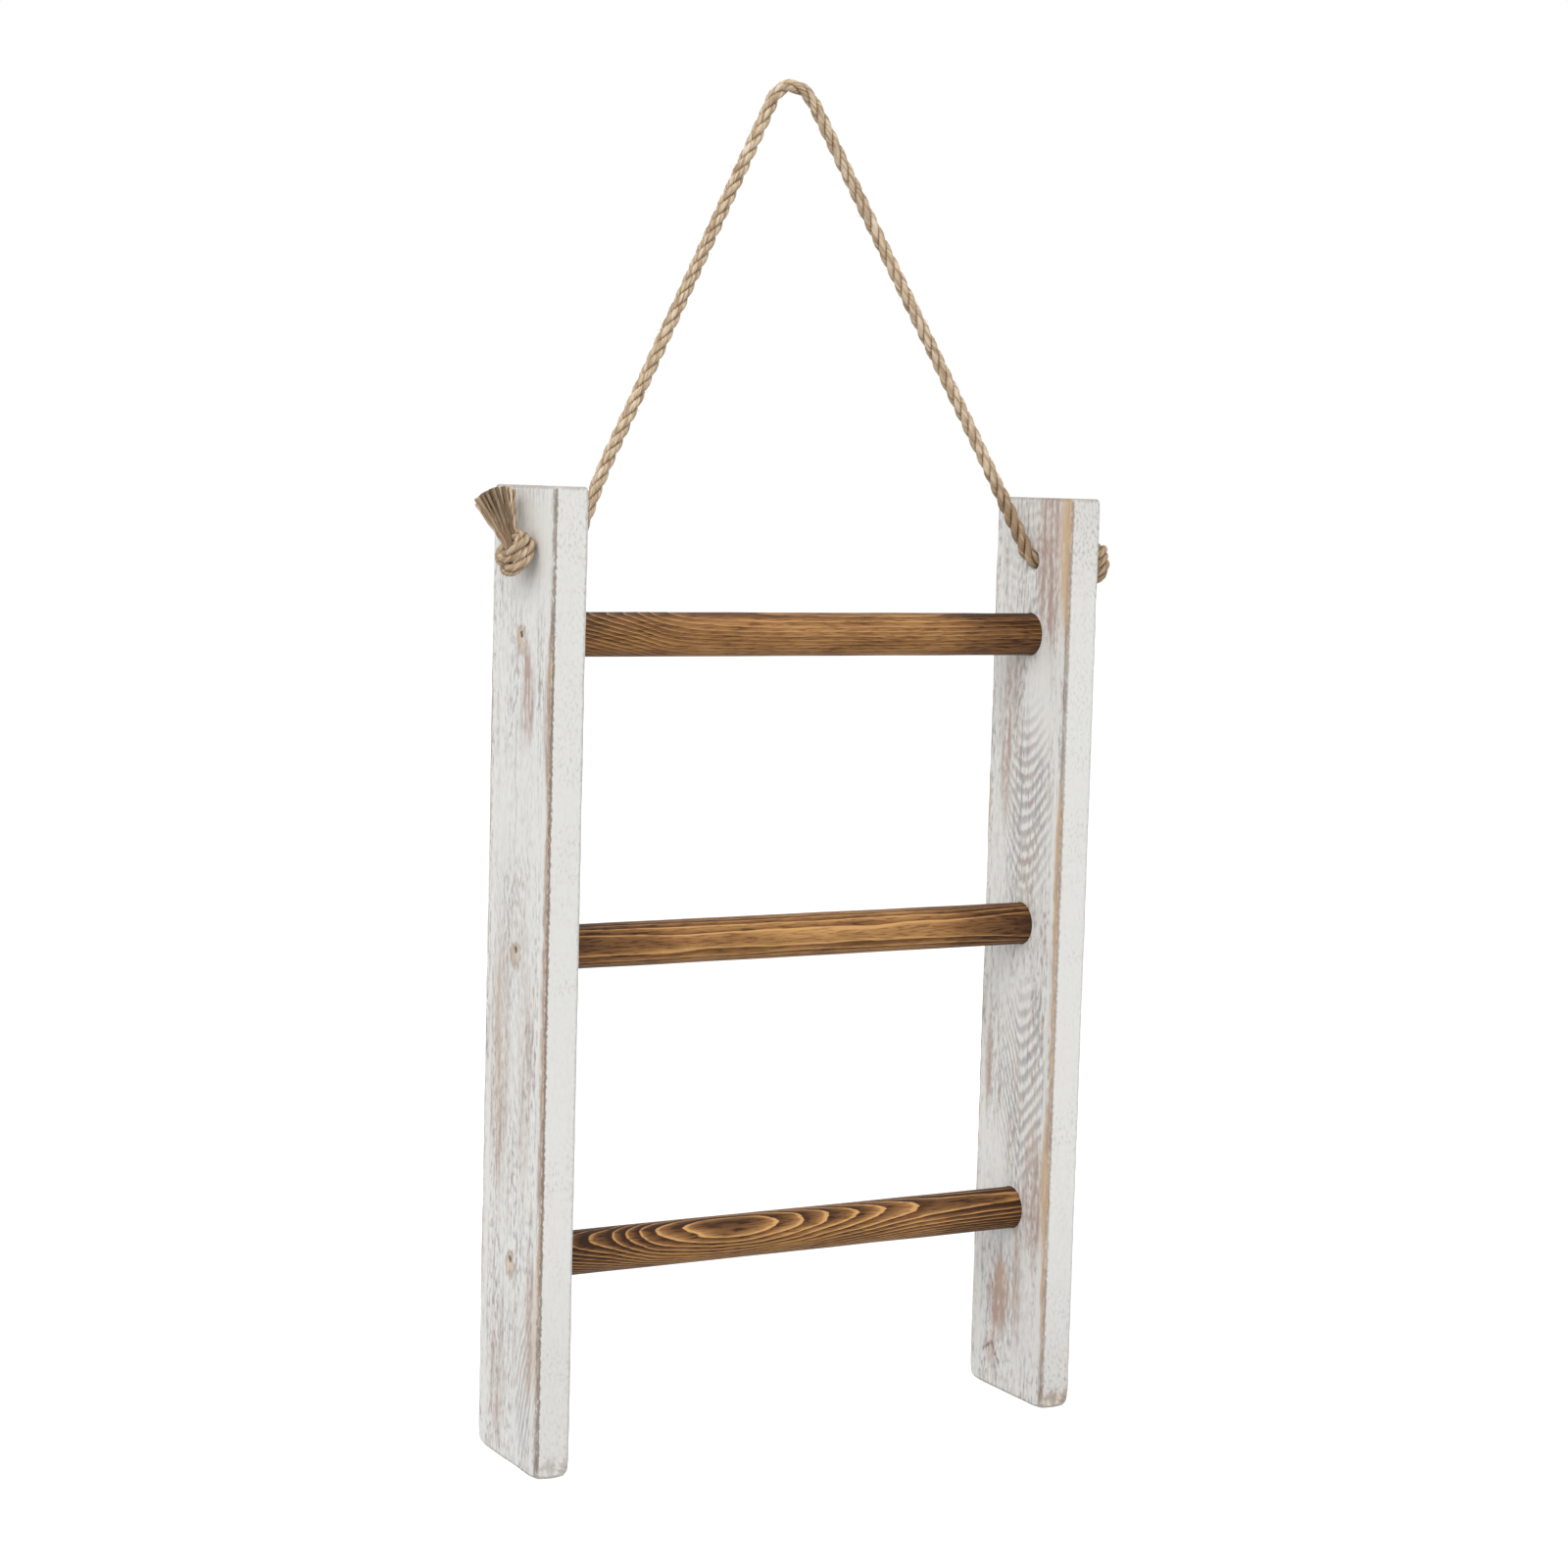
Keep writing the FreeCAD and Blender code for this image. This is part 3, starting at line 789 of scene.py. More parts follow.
SEAT_RADIUS = 1.65 * MM
SEAT_DEPTH = 1.7 * MM
NAIL_BORE_RADIUS = 0.95 * MM
SOCKET_RADIUS = 10.1 * MM
ROPE_HOLE_RADIUS = 3.6 * MM
MOUTH_ROUND = 3.0 * MM
MOUTH_STEPS = 5
CUTTER_SEGMENTS = 48
CUT_OVER = 1.0 * MM
SHARP_ANGLE = math.radians(38.0)


def socket_profile(inner, outer, seat):
    """A rung's socket and its nail's bore, from inside the ladder outwards."""
    way = math.copysign(1.0, outer - inner)
    return ((inner - way * CUT_OVER, 0.0), (inner - way * CUT_OVER, SOCKET_RADIUS), (seat, SOCKET_RADIUS),
            (seat, NAIL_BORE_RADIUS), (outer - way * SEAT_DEPTH, NAIL_BORE_RADIUS),
            (outer - way * SEAT_DEPTH, SEAT_RADIUS), (outer + way * CUT_OVER, SEAT_RADIUS),
            (outer + way * CUT_OVER, 0.0))


def hole_profile(low, high):
    """The rope's hole, which widens at both of its mouths."""
    mouth = []
    for i in range(MOUTH_STEPS + 1):
        turn = math.pi / 2 * i / MOUTH_STEPS
        mouth.append((MOUTH_ROUND * (1.0 - math.cos(turn)), MOUTH_ROUND * (1.0 - math.sin(turn))))
    first = [(low + depth, ROPE_HOLE_RADIUS + wide) for wide, depth in reversed(mouth)]
    last = [(high - depth, ROPE_HOLE_RADIUS + wide) for wide, depth in mouth]
    return [(low - CUT_OVER, 0.0), (low - CUT_OVER, first[0][1]), *first, *last,
            (high + CUT_OVER, last[-1][1]), (high + CUT_OVER, 0.0)]


def bore(piece, side):
    """Cuts the sockets, the nails' bores and the rope's hole out of a rail."""
    low, high = RAIL_BOX[side]
    inner, outer = (high.x, low.x) if side == "left" else (low.x, high.x)
    build = bmesh.new()
    for rung in RUNGS:
        seat = RUNG_BOX[rung][0].x if side == "left" else RUNG_BOX[rung][1].x
        add_turned(build, socket_profile(inner, outer, seat), rung_axis(rung), CUTTER_SEGMENTS)
    add_turned(build, hole_profile(low.x, high.x), Vector(ROUTE[0]), CUTTER_SEGMENTS)
    cutter = add_object(f"{side}_bores", finish_mesh(build, f"{side}_bores"))
    cut = piece.modifiers.new("bores", "BOOLEAN")
    cut.operation = "DIFFERENCE"
    cut.solver = "EXACT"
    cut.object = cutter
    made = evaluated_mesh(piece)
    piece.modifiers.remove(cut)
    bpy.data.objects.remove(cutter)
    made.set_sharp_from_angle(angle=SHARP_ANGLE)
    piece.data = made


# Places worn bare on a rail: mm behind its front, mm below its top, half width, half height, strength
BARE_PLACES = {
    "left": ((3.5, 365.0, 4.0, 40.0, 0.4), (48.0, 250.0, 4.0, 60.0, 0.25)),
    "right": ((2.5, 20.0, 8.5, 56.0, 0.9), (1.5, 175.0, 3.6, 60.0, 0.8), (2.5, 322.0, 5.0, 50.0, 0.8),
              (38.0, 374.0, 5.0, 12.0, 0.3)),
}
# Places where the wood shows pink through a rail's paint, given the same way
PINK_PLACES = {
    "left": ((24.0, 92.0, 9.0, 30.0, 0.9), (3.5, 100.0, 6.0, 36.0, 0.6),
             (46.0, 255.0, 14.0, 85.0, 0.55), (20.0, 250.0, 10.0, 75.0, 0.45),
             (10.0, 368.0, 7.0, 44.0, 0.75), (44.0, 395.0, 12.0, 40.0, 0.45)),
    "right": ((17.0, 28.0, 14.0, 60.0, 0.95), (49.0, 114.0, 5.0, 54.0, 1.0),
              (41.0, 92.0, 6.0, 34.0, 0.6), (24.0, 372.0, 6.0, 50.0, 0.55),
              (55.0, 272.0, 4.5, 36.0, 0.85), (12.0, 332.0, 13.0, 44.0, 0.75),
              (39.0, 386.0, 11.0, 25.0, 1.4), (46.0, 413.0, 7.0, 12.0, 0.5)),
}
# Places where a rail's paint is whole, given the same way
WHOLE_PLACES = {
    "left": ((22.0, 30.0, 34.0, 44.0, 0.75), (30.0, 140.0, 40.0, 38.0, 0.6),
             (20.0, 200.0, 16.0, 40.0, 0.4)),
    "right": ((20.0, 92.0, 18.0, 38.0, 0.72), (48.0, 330.0, 14.0, 50.0, 0.6)),
}
# Places where a rail's rings show, given the same way
RING_PLACES = {
    "left": ((12.0, 392.0, 16.0, 46.0, 0.9), (40.0, 200.0, 30.0, 60.0, 0.25)),
    "right": ((28.0, 148.0, 26.0, 62.0, 1.0), (24.0, 280.0, 28.0, 64.0, 1.0),
              (34.0, 385.0, 26.0, 34.0, 0.4), (36.0, 30.0, 26.0, 40.0, 0.3)),
}
# How the rings lie, at a rail's top and at its foot: their middle behind the front in mm, their roundness
# in mm, their steepness, and how much steeper they are behind their middle
RAIL_RINGS = {
    "left": ((26.0, 9.0, 0.3, 1.0), (26.0, 3.0, 0.3, 1.0)),
    "right": ((38.6, 32.0, 0.339, 0.4), (21.3, -11.0, 0.029, 3.4)),
}
# How many mm below each other the rings meet the face, and how fast they spread towards the foot
RING_DROP = 4.3
RING_SPREAD = 0.0007
# How grey the paint is towards a rail's foot, and how specked its front is towards its ends
FOOT_GREY = {"left": 0.06, "right": 0.15}
END_SPECKS = {"left": 0.25, "right": 0.6}
# Where a rail's edge is rubbed down to the wood, from and to how many mm below its top
RUBBED = {"left": ((62.0, 350.0),), "right": ((-20.0, 62.0), (134.0, 404.0))}
# In how many mm that begins, and how many mm before and after its end it fades
RUB_BEGINS = 8.0
RUB_FADES = (15.0, 25.0)
# How wide the bare strip along that edge is, and the share of its width where it isn't rubbed
STRIP_WIDTH = {"left": 1.0, "right": 0.85}
KEPT_WIDTH = {"left": 0.5, "right": 0.62}
# How dirty and ragged that edge is
EDGE_DIRT = {"left": 0.45, "right": 0.1}
# How grey a rail's front is towards its ends, and how worn its toe is
END_GREY = {"left": 0.0, "right": 0.15}
TOE_WEAR = {"left": 0.1, "right": 0.55}
# Wear round a nail: how far below its axis its middle lies, half its width and half its height, in mm,
# and how ragged it is
NAIL_WEAR_DROP = 2.5
NAIL_WEAR_SIZE = (6.5, 7.5)
NAIL_WEAR_STRAY = 12.0
# Cracks in a rail's left face: from and to, each in mm behind its front and mm below its top
CRACKS = {
    "left": (),
    "right": ((45.0, 410.0, 36.5, 420.5), (52.0, 415.0, 46.5, 411.5)),
}
# Noises of a rail's finish: the size of a patch across, backwards and down in mm, its detail and its seed
RAIL_NOISES = {
    "mottle": ((2.2, 2.2, 4.6), 3.0, 1.0),
    "dash": ((1.2, 1.2, 10.0), 2.0, 19.0),
    "streak": ((3.4, 3.4, 44.0), 3.0, 3.0),
    "broad": ((14.0, 14.0, 70.0), 2.0, 5.0),
    "jag": ((1.1, 1.1, 2.2), 2.0, 9.0),
    "patch": ((30.0, 30.0, 26.0), 2.0, 11.0),
    "warmth": ((6.0, 6.0, 40.0), 2.0, 21.0),
    "speck": ((1.3, 1.3, 2.4), 3.0, 17.0),
    "nail_stray": ((3.0, 3.0, 6.0), 2.0, 23.0),
    "scuff_line": ((7.0, 7.0, 5.0), 2.0, 27.0),
    "ring_drift": ((25.0, 12.0, 34.0), 2.0, 13.0),
    "ring_jitter": ((1.0, 1.0, 5.0), 2.0, 2.0),
}


def nearness(across, along, wide, tall):
    """1 inside an oval place, 0 outside it."""
    reach = ((across / wide) ** 2.0 + (along / tall) ** 2.0) ** 0.5
    return 1.0 - reach.rise(0.4, 1.0)


def in_places(back, down, places):
    """The strongest of several oval places at a spot."""
    found = back * 0.0
    for depth, drop, wide, tall, strength in places:
        found = found.most(nearness(back - depth, down - drop, wide, tall) * strength)
    return found


def in_cracks(back, down, cracks):
    """1 in any of several straight cracks, 0 beside them."""
    found = back * 0.0
    for back_from, down_from, back_to, down_to in cracks:
        way = Vector((back_to - back_from, down_to - down_from))
        ahead = way.normalized()
        aside, below = back - back_from, down - down_from
        reached = (aside * ahead.x + below * ahead.y).most(0.0).least(way.length)
        gap = ((aside - reached * ahead.x) ** 2.0 + (below - reached * ahead.y) ** 2.0) ** 0.5
        found = found.most(1.0 - gap.rise(0.3, 1.3))
    return found


class RailSpot:
    """Where a spot of a rail lies, in mm, with the noises of the rail's finish there."""

    def __init__(self, start, side):
        low, high = RAIL_BOX[side]
        place = start.node("ShaderNodeTexCoord", output="Object")
        place = place.vector("SUBTRACT", (low.x, low.y, high.z)).vector("DIVIDE", (MM, MM, -MM))
        self.side = side
        self.wide, self.deep, self.tall = (high - low) / MM
        self.across, self.back, self.down = place.parts()
        self.up = self.tall - self.down
        self.edge_x = self.across.least(self.wide - self.across)
        self.edge_y = self.back.least(self.deep - self.back)
        self.front = 1.0 - self.edge_y.rise(0.3, 1.5)
        self.seen_side = (1.0 - self.across / self.wide * 0.75) * (1.0 - self.back / self.deep * 0.5)
        for name, (cell, detail, seed) in RAIL_NOISES.items():
            setattr(self, name, place.grain(cell, detail, seed))
        self.rosy = self.warmth.rise(0.44, 0.64)

    def within(self, places):
        """The strongest of the rail's oval places here."""
        return in_places(self.back, self.down, places[self.side])


def ring_bands(at):
    """Pale and dark bands where the face cuts the growth rings: arcs and points that open upwards."""
    top, foot = RAIL_RINGS[at.side]
    centre, roundness, steepness, lean = [at.down * ((b - a) / at.tall) + a for a, b in zip(top, foot)]
    aside = at.back - centre + (at.ring_drift - 0.5) * 5.0
    aside = (aside * lean).most(aside * -1.0)
    reach = (aside ** 2.0 + roundness ** 2.0) ** 0.5
    ring = reach * steepness + at.down / RING_DROP * (1.0 - at.down * RING_SPREAD)
    ring = ring + (at.ring_jitter - 0.5) * 0.45
    bands = ring.math("FRACT").ramp((0.0, 0.0), (0.25, 0.0), (0.5, 1.0), (0.75, 0.8), (1.0, 0.0))
    return bands * at.within(RING_PLACES) * (1.0 - (at.across / at.wide).rise(0.3, 0.7) * 0.55)


def thinness(at, bands, whole):
    """How thin the paint is: over the grain and the rings on a rail's sides, in specks on its front; a
    painted highlight runs along the sides.
    """
    grain = at.mottle.rise(0.46, 0.68) * 0.5 + at.dash.rise(0.5, 0.7) * 0.5
    grain = grain + at.streak.rise(0.5, 0.68) * 0.35
    worn_through = at.broad.rise(0.36, 0.6) * 0.75 + 0.4
    thin = grain * worn_through * (1.0 - whole) * (1.2 - bands * 0.6) + bands * 0.75
    # Painted highlight: a pale strip on the sides, 6 mm from the front and back edges, where less grain
    # shows
    thin = thin * (1.0 - nearness(at.edge_y - 6.0, at.edge_x, 2.2, 1.5) * 0.7)
    by_end = (at.down / at.tall * 2.0 - 1.0).math("ABSOLUTE").rise(0.72, 1.0)
    by_foot = (at.down / at.tall).rise(0.7, 0.95)
    specked = at.patch.rise(0.45, 0.65) * 0.35 + by_end * END_SPECKS[at.side] + 0.12
    on_front = at.speck.rise(0.45, 0.8) * specked + by_foot * 0.12 + by_end * END_GREY[at.side]
    on_side = thin + by_foot * FOOT_GREY[at.side]
    return on_side * (1.0 - at.front * 0.9) + at.front * on_front


def near_nails(at):
    """1 in a ragged patch round each nail, 0 outside them."""
    low, high = RAIL_BOX[at.side]
    nails = []
    for rung in RUNGS:
        back, down = (rung_axis(rung).y - low.y) / MM, (high.z - rung_axis(rung).z) / MM
        nails.append((back, down + NAIL_WEAR_DROP, *NAIL_WEAR_SIZE, 1.0))
    back = at.back + (at.nail_stray - 0.5) * NAIL_WEAR_STRAY
    down = at.down + (at.mottle - 0.5) * NAIL_WEAR_STRAY
    return in_places(back, down, nails)


def edge_wear(at, rails):
    """How bare a rail is along its long edges, and the colour of its wood there."""
    dirt, kept = EDGE_DIRT[at.side], KEPT_WIDTH[at.side]
    rubbed = at.down * 0.0
    for start_at, end_at in RUBBED[at.side]:
        begun = at.down.rise(start_at - RUB_BEGINS, start_at + RUB_BEGINS)
        rubbed = rubbed + begun * (1.0 - at.down.rise(end_at - RUB_FADES[0], end_at + RUB_FADES[1]))
    width = (rubbed * (1.0 - kept) + kept) * STRIP_WIDTH[at.side]
    reach = (at.patch.rise(0.3, 0.7) * 0.9 + 1.0) * width * at.seen_side
    reach = reach * (1.5 - at.up.rise(3.0, 14.0) * 0.5)
    strip = at.edge_x * 1.3 + at.edge_y * 0.36 + (at.mottle - 0.5) * 1.1
    strip = strip + (at.jag - 0.5) * (0.4 + dirt * 2.0)
    bare = (1.0 - (strip / reach).rise(0.65, 1.25)) * (at.dash.rise(0.3, 0.6) * 0.35 + 0.6)
    bare = bare * (rubbed * 0.2 + 0.8)
    rosy = at.rosy * 0.6 + at.mottle.rise(0.4, 0.6) * 0.4 + (dirt - 0.1)
    fresh = rosy.mixed(rails.bare_wood, rails.pink_wood)
    wood = rubbed.mixed(rails.old_wood, fresh)
    wood = (at.jag.rise(0.4, 0.62) * dirt).mixed(wood, rails.old_wood)
    return bare, wood


def dark_marks(at, by_nail):
    """Dirt in chipped edges, round the nails, at a rail's ends, in its toe's scuffs and in cracks."""
    teeth = (at.edge_x - 0.8 + (at.jag - 0.5) * 2.2).math("ABSOLUTE")
    teeth = (1.0 - teeth.rise(0.25, 0.8)) * (1.0 - at.edge_y.rise(0.5, 1.3)) * at.seen_side
    teeth = teeth * (EDGE_DIRT[at.side] * 0.8 + 0.5)
    rim = (by_nail * (1.0 - by_nail) * 1.6).least(0.32)
    end_edge = at.down.least(at.up) + at.edge_x.least(at.edge_y) * 0.5 + (at.jag - 0.5) * 1.6
    bare_end = (1.0 - end_edge.rise(0.6, 2.0)) * 0.5
    scuff = (1.0 - at.up.rise(2.0, 13.0)) * at.front * at.patch.rise(0.35, 0.6)
    line = 1.0 - (at.scuff_line - 0.5).math("ABSOLUTE").rise(0.036, 0.09)
    scuff = scuff * line * (0.45 + TOE_WEAR[at.side] * 0.5)
    ragged = (at.mottle - 0.5) * 8.0 + (at.jag - 0.5) * 3.0
    cracks = in_cracks(at.back + ragged, at.down, CRACKS[at.side])
    cracks = cracks * (at.jag.rise(0.3, 0.55) * 0.65 + 0.2) * (1.0 - (at.across / at.wide).rise(0.3, 0.6))
    return teeth.most(rim).most(bare_end).most(scuff).most(cracks)


def whitewash_material(side, rails):
    """Thin white paint over grain, worn to the wood along the edges, by the nails and in places."""
    material, start, shader = new_material(f"{side}_rail_whitewash")
    at = RailSpot(start, side)
    bands = ring_bands(at)
    whole = at.within(WHOLE_PLACES)
    grey = at.rosy.mixed(rails.thin_paint, rails.pale_wood)
    face = thinness(at, bands, whole).mixed(rails.paint, grey)
    worked = at.streak + at.mottle * 0.7 - 0.35
    pink = at.within(PINK_PLACES) * worked.rise(0.15, 0.7) * (1.0 - at.front) * (1.0 - whole)
    face = pink.mixed(face, rails.pink_wood)
    by_nail = near_nails(at)
    wear = at.within(BARE_PLACES) * worked.rise(0.0, 0.5) * (1.0 - at.front)
    bare = wear.most(by_nail * (at.mottle.rise(0.35, 0.6) * 0.3 + 0.4))
    face = bare.mixed(face, rails.bare_wood)
    strip, strip_wood = edge_wear(at, rails)
    face = strip.mixed(face, strip_wood)
    toe = (1.0 - at.up.rise(4.0, 11.0)) * at.front * (at.mottle.rise(0.35, 0.6) * TOE_WEAR[side])
    face = toe.mixed(face, rails.bare_wood)
    face = dark_marks(at, by_nail).mixed(face, rails.old_wood)
    height = at.mottle * 0.6 - bands * 0.5 - bare * 0.4
    bump = start.node("ShaderNodeBump", None, {"Strength": 0.35, "Distance": 0.2 * MM, "Height": height})
    feed(shader, Base_Color=face, Normal=bump, Roughness=bare * 0.15 + 0.65, Specular_IOR_Level=0.2)
    return material


class LADDER_OT_rails(Operator):
    """Makes the two whitewashed rails with their bores"""
    bl_idname = "towel_ladder.make_rails"
    bl_label = "Make rails"

    def execute(self, context):
        rails = context.scene.towel_ladder.rails
        for seed, side in enumerate(SIDES):
            mesh = plank(RAIL_BOX[side], rails, RAIL_SEED_STEP * seed)
            piece = add_object(f"whitewashed_{side}_rail", mesh)
            bore(piece, side)
            piece.data.materials.clear()
            piece.data.materials.append(whitewash_material(side, rails))
            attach(piece, "ladder")
            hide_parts(f"{side}_rail")
        return {"FINISHED"}


# Rungs

# How the grain lies in a rung: the side that its rings' top faces (0 front, 90 up), their spacing in
# mm, how strongly they show at the left end and from there on, how light the stain is, and by how many
# rings they drop at places along the rung in mm
RUNG_GRAIN = {
    "bottom": (45.0, 1.45, 0.9, 0.9, 0.05, (
        (-125, -8), (-105, -6), (-94, -5), (-87, -4), (-80, -3), (-73, -2), (-60, -1), (-33, 0), (-6, -1),
        (8, -2), (21, -3), (36, -4), (51, -5), (70, -6), (82, -6.3), (125, -6.7))),
    "middle": (6.0, 1.9, 0.64, 0.64, 0.25, (
        (-125, -0.2), (-60, -0.5), (0, -0.6), (60, -0.5), (95, -0.3), (125, 0.1))),
    "top": (75.0, 1.85, 0.62, 0.34, 0.3, (
        (-125, -8), (-90, -3.6), (-62, -0.4), (-40, 0), (30, 0.3), (125, -0.2))),
}
# Half the stretch in mm and half the range in rings that those drops are given in
RUNG_HALF = 125.0
RING_RANGE = 9.0
RUNG_WAVE_LENGTH = 0.03
RUNG_WAVE_TURN = 0.8
RUNG_SEED_STEP = 5


def stain_material(rung, rungs):
    """Dark stain whose grain lines run along the rung and come to points where the rings are cut."""
    material, start, shader = new_material(f"{rung}_rung_stain")
    axis = rung_axis(rung)
    facing, spacing, strong, weak, lightness, drops = RUNG_GRAIN[rung]
    place = start.node("ShaderNodeTexCoord", output="Object")
    spot = place.vector("SUBTRACT", (0.0, axis.y, axis.z)).vector("DIVIDE", (MM, MM, MM))
    along, deep, up = spot.parts()
    radius = (RUNG_BOX[rung][1].z - axis.z) / MM
    turn = math.radians(facing)
    below = radius + deep * math.cos(turn) - up * math.sin(turn)
    points = [(x / (2 * RUNG_HALF) + 0.5, n / (2 * RING_RANGE) + 0.5) for x, n in drops]
    share = along / (2 * RUNG_HALF) + 0.5
    drop = start.node("ShaderNodeFloatCurve", {"curve": points}, {"Value": share})
    drop = (drop - 0.5) * (2 * RING_RANGE)
    wobble = (spot.grain((45.0, 5.0, 5.0), 2.0) - 0.5) * 0.8
    ring = below / spacing - drop + wobble
    pore = spot.grain((8.0, 0.7, 0.7), 3.0, seed=4.0)
    tone = ring.math("FRACT").ramp((0.0, 0.0), (0.15, 0.0), (0.5, 0.28), (0.76, 0.5), (0.88, 1.0),
                                   (0.97, 1.0), (1.0, 0.1))
    cloud = spot.grain((40.0, 7.0, 7.0), 2.0, seed=8.0)
    # Darker towards the rails: partly darker stain, partly painted shade where the rung goes into the
    # rail
    ends = (along.math("ABSOLUTE") / RUNG_HALF).rise(0.35, 1.0) * (along.rise(-30.0, 90.0) * 0.08 + 0.3)
    under = below.rise(10.0, 17.0)
    strength = strong - along.rise(-105.0, -55.0) * (strong - weak)
    level = tone * (1.0 - under * 0.55) * strength + under * 0.16 - pore.rise(0.45, 0.7) * 0.3
    # Painted shade: darker towards the rung's top and bottom, where it turns away from the front
    rim = (up.math("ABSOLUTE") / radius).rise(0.62, 1.0)
    level = level + (cloud - 0.5) * 0.7 - ends - rim * 0.16 + lightness + 0.13
    face = level.ramp((0.0, rungs.dark_stain), (0.4, rungs.stain), (0.95, rungs.light_stain))
    height = pore + tone * 0.5
    bump = start.node("ShaderNodeBump", None, {"Strength": 0.3, "Distance": 0.2 * MM, "Height": height})
    feed(shader, Base_Color=face, Normal=bump, Roughness=0.6 - tone * 0.1, Specular_IOR_Level=0.2)
    return material


def rung_profile(box, rungs):
    """Half section of a rung, with the bores that its nails sit in."""
    low, high = box[0].x, box[1].x
    radius = (box[1].z - box[0].z) / 2
    reach = NAIL_BOX["top"][1].x - low
    steps = round((high - low) / rungs.grid)
    body = [(low + (high - low) * i / steps, radius) for i in range(1, steps)]
    left = [(low + reach, 0.0), (low + reach, NAIL_BORE_RADIUS), (low, NAIL_BORE_RADIUS),
            (low, radius - rungs.end_bevel), (low + rungs.end_bevel, radius)]
    right = [(low + high - x, r) for x, r in reversed(left)]
    return left + body + right


class LADDER_OT_rungs(Operator):
    """Makes the three stained rungs"""
    bl_idname = "towel_ladder.make_rungs"
    bl_label = "Make rungs"

    def execute(self, context):
        rungs = context.scene.towel_ladder.rungs
        for seed, rung in enumerate(RUNGS):
            def stray(x, angle):
                turn = (math.cos(angle) * RUNG_WAVE_TURN, math.sin(angle) * RUNG_WAVE_TURN)
                wave = wander(x / RUNG_WAVE_LENGTH + RUNG_SEED_STEP * seed, *turn)
                return rungs.waviness * (wave - WAVE_SINK)

            build = bmesh.new()
            add_turned(build, rung_profile(RUNG_BOX[rung], rungs), rung_axis(rung), rungs.segments, stray)
            piece = add_object(f"stained_{rung}_rung", finish_mesh(build, f"{rung}_rung"))
            piece.data.set_sharp_from_angle(angle=SHARP_ANGLE)
            piece.data.materials.append(stain_material(rung, rungs))
            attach(piece, "ladder")
            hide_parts(f"{rung}_rung")
        return {"FINISHED"}


# Nails

def nail_material(nails):
    """Dull steel that has darkened in spots."""
    material, start, shader = new_material("nail_steel")
    place = start.node("ShaderNodeTexCoord", output="Object")
    spot = place.grain((0.6 * MM, 0.6 * MM, 0.6 * MM), 3.0).rise(0.35, 0.65)
    feed(shader, Base_Color=spot.mixed(nails.steel, nails.tarnish), Roughness=spot * 0.3 + 0.45,
         Metallic=1.0 - spot * 0.7)
    return material


class LADDER_OT_nails(Operator):
    """Gives the six nails their steel"""
    bl_idname = "towel_ladder.finish_nails"
    bl_label = "Finish nails"

    def execute(self, context):
        material = nail_material(context.scene.towel_ladder.nails)
        for side in SIDES:
            for rung in RUNGS:
                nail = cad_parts[f"{side}_{rung}_nail"]
                nail.data.materials.clear()
                nail.data.materials.append(material)
        return {"FINISHED"}


# Stage

CAMERA_PLACE = Vector((-0.7083, -1.2837, -0.1641))
CAMERA_YAW = math.radians(29.07)
CAMERA_PITCH = math.radians(-5.53)
CAMERA_ROLL = math.radians(1.55)
CAMERA_LENS = 73.06
CAMERA_SENSOR = 36.0
# Each light's softness, its direction and its height in degrees
KEY_LIGHT = {"softness": 50.0, "azimuth": 48.0, "elevation": 32.0}
FILL_LIGHT = {"softness": 80.0, "azimuth": -50.0, "elevation": 10.0}
FLOOR_GLOW = 0.62


def add_camera():
    """A camera at the photograph's place, turned right by its yaw and tipped by its pitch and roll."""
    camera = bpy.data.cameras.new("camera")
    camera.lens = CAMERA_LENS
    camera.sensor_width = CAMERA_SENSOR
    ahead = Vector((math.sin(CAMERA_YAW) * math.cos(CAMERA_PITCH),
                    math.cos(CAMERA_YAW) * math.cos(CAMERA_PITCH), math.sin(CAMERA_PITCH)))
    level = Vector((math.cos(CAMERA_YAW), -math.sin(CAMERA_YAW), 0.0))
    plumb = level.cross(ahead)
    right = math.cos(CAMERA_ROLL) * level + math.sin(CAMERA_ROLL) * plumb
    up = math.cos(CAMERA_ROLL) * plumb - math.sin(CAMERA_ROLL) * level
    holder = add_object("camera", camera)
    turned = Matrix((right, up, -ahead)).transposed().to_4x4()
    holder.matrix_world = Matrix.Translation(CAMERA_PLACE) @ turned
    bpy.context.scene.camera = holder


def add_sun(name, strength, softness, azimuth, elevation):
    """A soft light from a direction: azimuth 0 is from the front, and 90 from the left."""
    lamp = bpy.data.lights.new(name, "SUN")
    lamp.energy = strength
    lamp.angle = math.radians(softness)
    across, up = math.radians(azimuth), math.radians(elevation)
    source = Vector((-math.sin(across) * math.cos(up), -math.cos(across) * math.cos(up), math.sin(up)))
    add_object(name, lamp).rotation_euler = source.to_track_quat("Z", "Y").to_euler()


def seen_directly(start):
    """1 for the camera's rays and for what mirrors and glass show, else 0."""
    ray = {n: start.node("ShaderNodeLightPath", output=n)
           for n in ("Is Camera Ray", "Is Glossy Ray", "Is Transmission Ray")}
    return ray["Is Camera Ray"].most(ray["Is Glossy Ray"]).most(ray["Is Transmission Ray"])


def light_world(stage):
    """White to the eye, and softer as a light."""
    world = bpy.data.worlds.new("studio")
    world.use_nodes = True
    bpy.context.scene.world = world
    start = Flow(world.node_tree)
    strength = seen_directly(start).most(stage.sky)
    background = world.node_tree.nodes["Background"]
    background.inputs["Color"].default_value = (1.0, 1.0, 1.0, 1.0)
    world.node_tree.links.new(strength.socket, background.inputs["Strength"])


